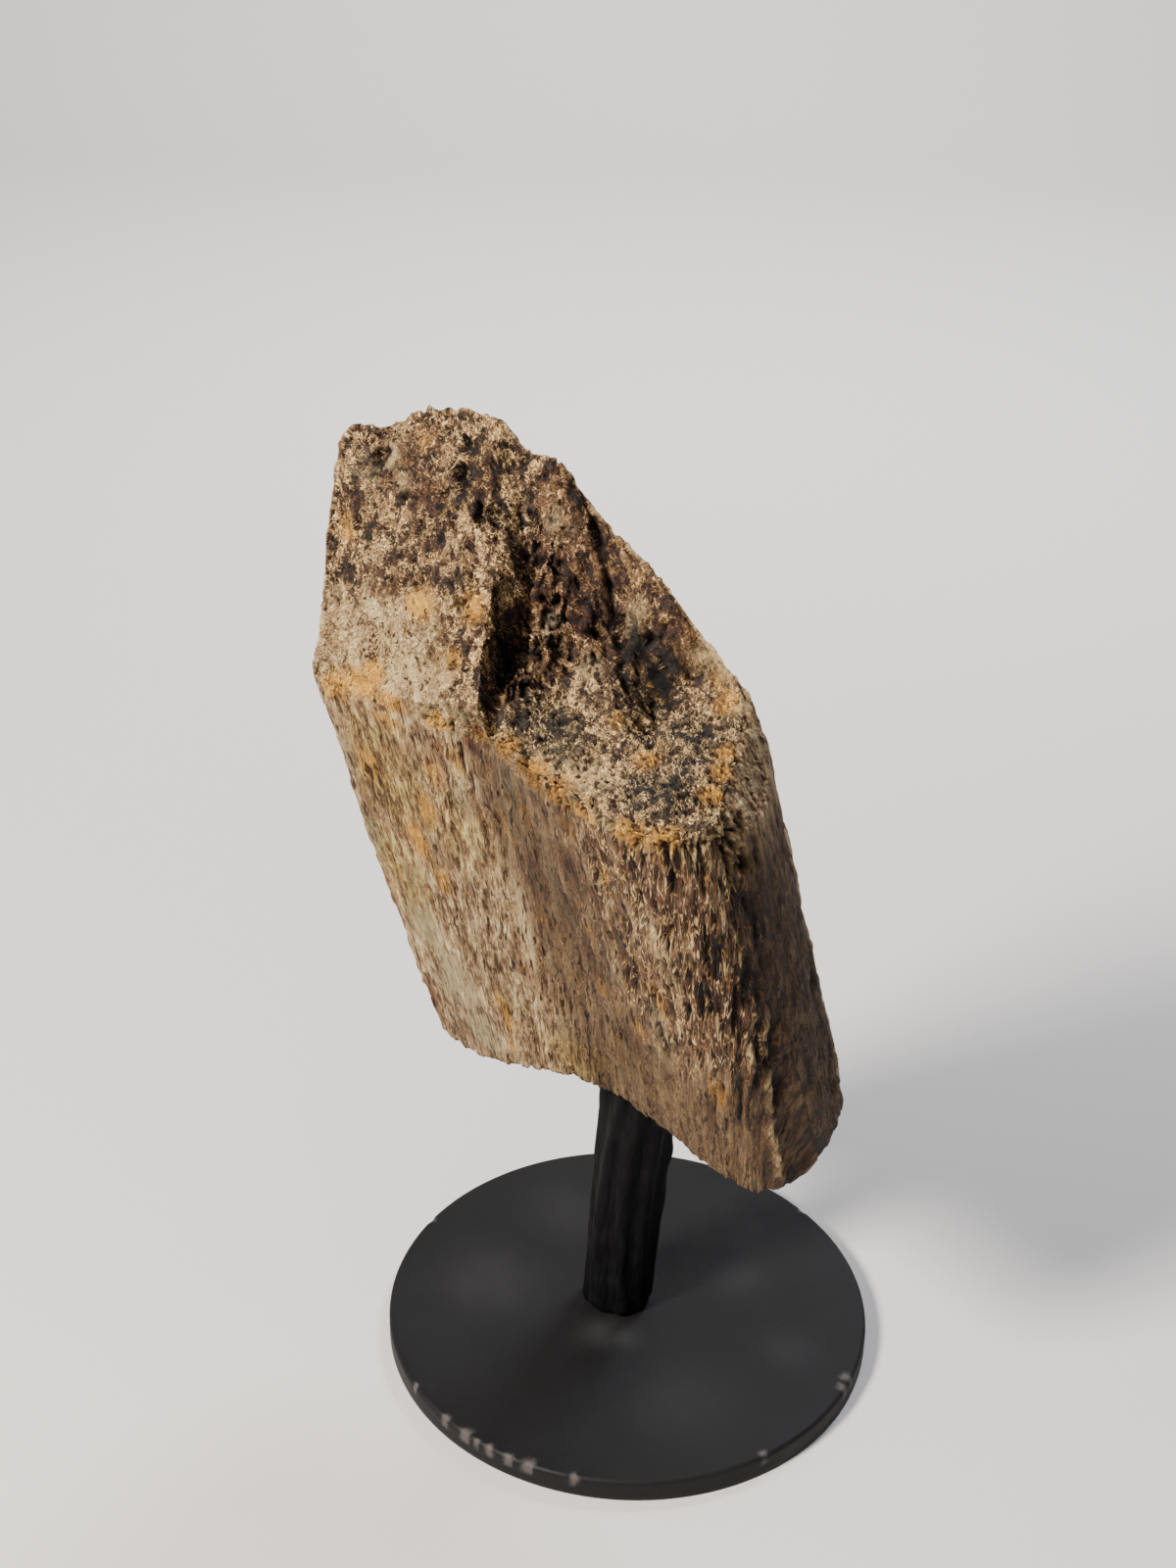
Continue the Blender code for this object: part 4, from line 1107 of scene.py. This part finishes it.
def discSurface():
    # the profile turned round the middle; each chip is a shallow ragged bite at the rim, and each
    # smear a bell curve on top
    outer, thick = disc["radius"], disc["thickness"]
    turn = (np.arange(disc["columns"]) * 2.0 * np.pi / disc["columns"])[None, :]
    radius, height = (values + 0.0 * turn for values in discProfile())
    x, y, drop = radius * np.cos(turn), radius * np.sin(turn), thick - height
    ragged = noiseField(np.stack([x, y, height], -1) / 0.55, 141, 3)
    chip, smear = np.zeros_like(x), np.zeros_like(x)
    for angle, place, roundWide, inWide in disc["chips"]:
        gap = outer * ((turn - math.radians(angle) + np.pi) % (2.0 * np.pi) - np.pi)
        reach = np.hypot(gap / roundWide, (np.minimum(radius, outer) - drop * 0.4 - place) / inWide)
        bite = 0.8 * smoothStep(1.3, 0.5, reach + 0.3 * ragged)
        chip = np.maximum(chip, bite * (drop < disc["chipLow"]))
    for a, b, wide, strength in disc["smears"]:
        far = ((x - a) ** 2 + (y - b) ** 2) / wide ** 2
        smear = np.maximum(smear, strength * np.exp(-far) * (drop < 0.5))
    bite = disc["chipDepth"] * chip
    inward = 1.0 - bite / outer
    points = np.stack([x * inward, y * inward, height - bite * (drop < 0.8)], -1)
    return points, np.stack([chip, smear, 0.5 + 0.5 * ragged, np.ones_like(x)], -1)


def discMaterial():
    # mild steel under a matt black powder coat: soft sheen, fine orange peel 0.7 mm across, cloudy
    # over 17 mm, and pale primer with a warm core where the rim is chipped
    material, tree, shader = newMaterial("black powder coated steel")
    place = addNode(tree, "ShaderNodeTexCoord", {}, {}, "Object")
    layer = addNode(tree, "ShaderNodeAttribute", {"attribute_name": "paint"}, {}, "Color")
    chip, smear, ragged = addNode(tree, "ShaderNodeSeparateColor", {}, {"Color": layer}).node.outputs
    peel = addNode(tree, *softNoise, {"Vector": place, "Scale": 1.4 / millimetre, "Detail": 2.0}, "Fac")
    cloud = addNode(tree, *softNoise, {
        "Vector": place, "Scale": 0.06 / millimetre, "Detail": 5.0, "Roughness": 0.6}, "Fac")
    coat = addNode(tree, "ShaderNodeValToRGB", {"stops": [
        (0.35, "#0e0e10"), (0.55, "#121214"), (0.75, "#171719")]}, {"Fac": cloud}, "Color")
    dusty = addNode(tree, *multiply, {0: smear, 1: cloud})
    coat = addNode(tree, *mixColors, {0: dusty, 6: coat, 7: linearColor("#3a3a3c")}, 2)
    core = addNode(tree, *moveRange, {"Value": chip, "From Min": 0.6, "From Max": 1.0})
    core = addNode(tree, *multiply, {0: core, 1: ragged})
    primer = addNode(tree, *mixColors, {0: core, 6: linearColor("#484646"), 7: linearColor("#6a554e")}, 2)
    color = addNode(tree, *mixColors, {0: chip, 6: coat, 7: primer}, 2)
    rough = addNode(tree, *moveRange, {
        "Value": cloud, "From Min": 0.3, "From Max": 0.7, "To Min": 0.52, "To Max": 0.70})
    bump = addNode(tree, "ShaderNodeBump", {}, {
        "Height": peel, "Strength": 0.35, "Distance": 0.1 * millimetre})
    fillInputs(tree, shader, {"Base Color": color, "Roughness": rough, "IOR": 1.5,
                              "Specular IOR Level": 0.18, "Normal": bump})
    return material


def makeDisc():
    points, paint = discSurface()
    middles = [[0.0, 0.0, 0.0], [0.0, 0.0, disc["thickness"]]]
    points, faces, paint = closeEnds(points, paint, middles, [[0.0, 0.0, 0.5, 1.0]] * 2)
    piece = makeMesh("baseDisc", points, faces, {"paint": paint}, discMaterial())
    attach(piece, "root")
    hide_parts("base")
    print("disc made:", len(faces), "faces")


makeDisc()
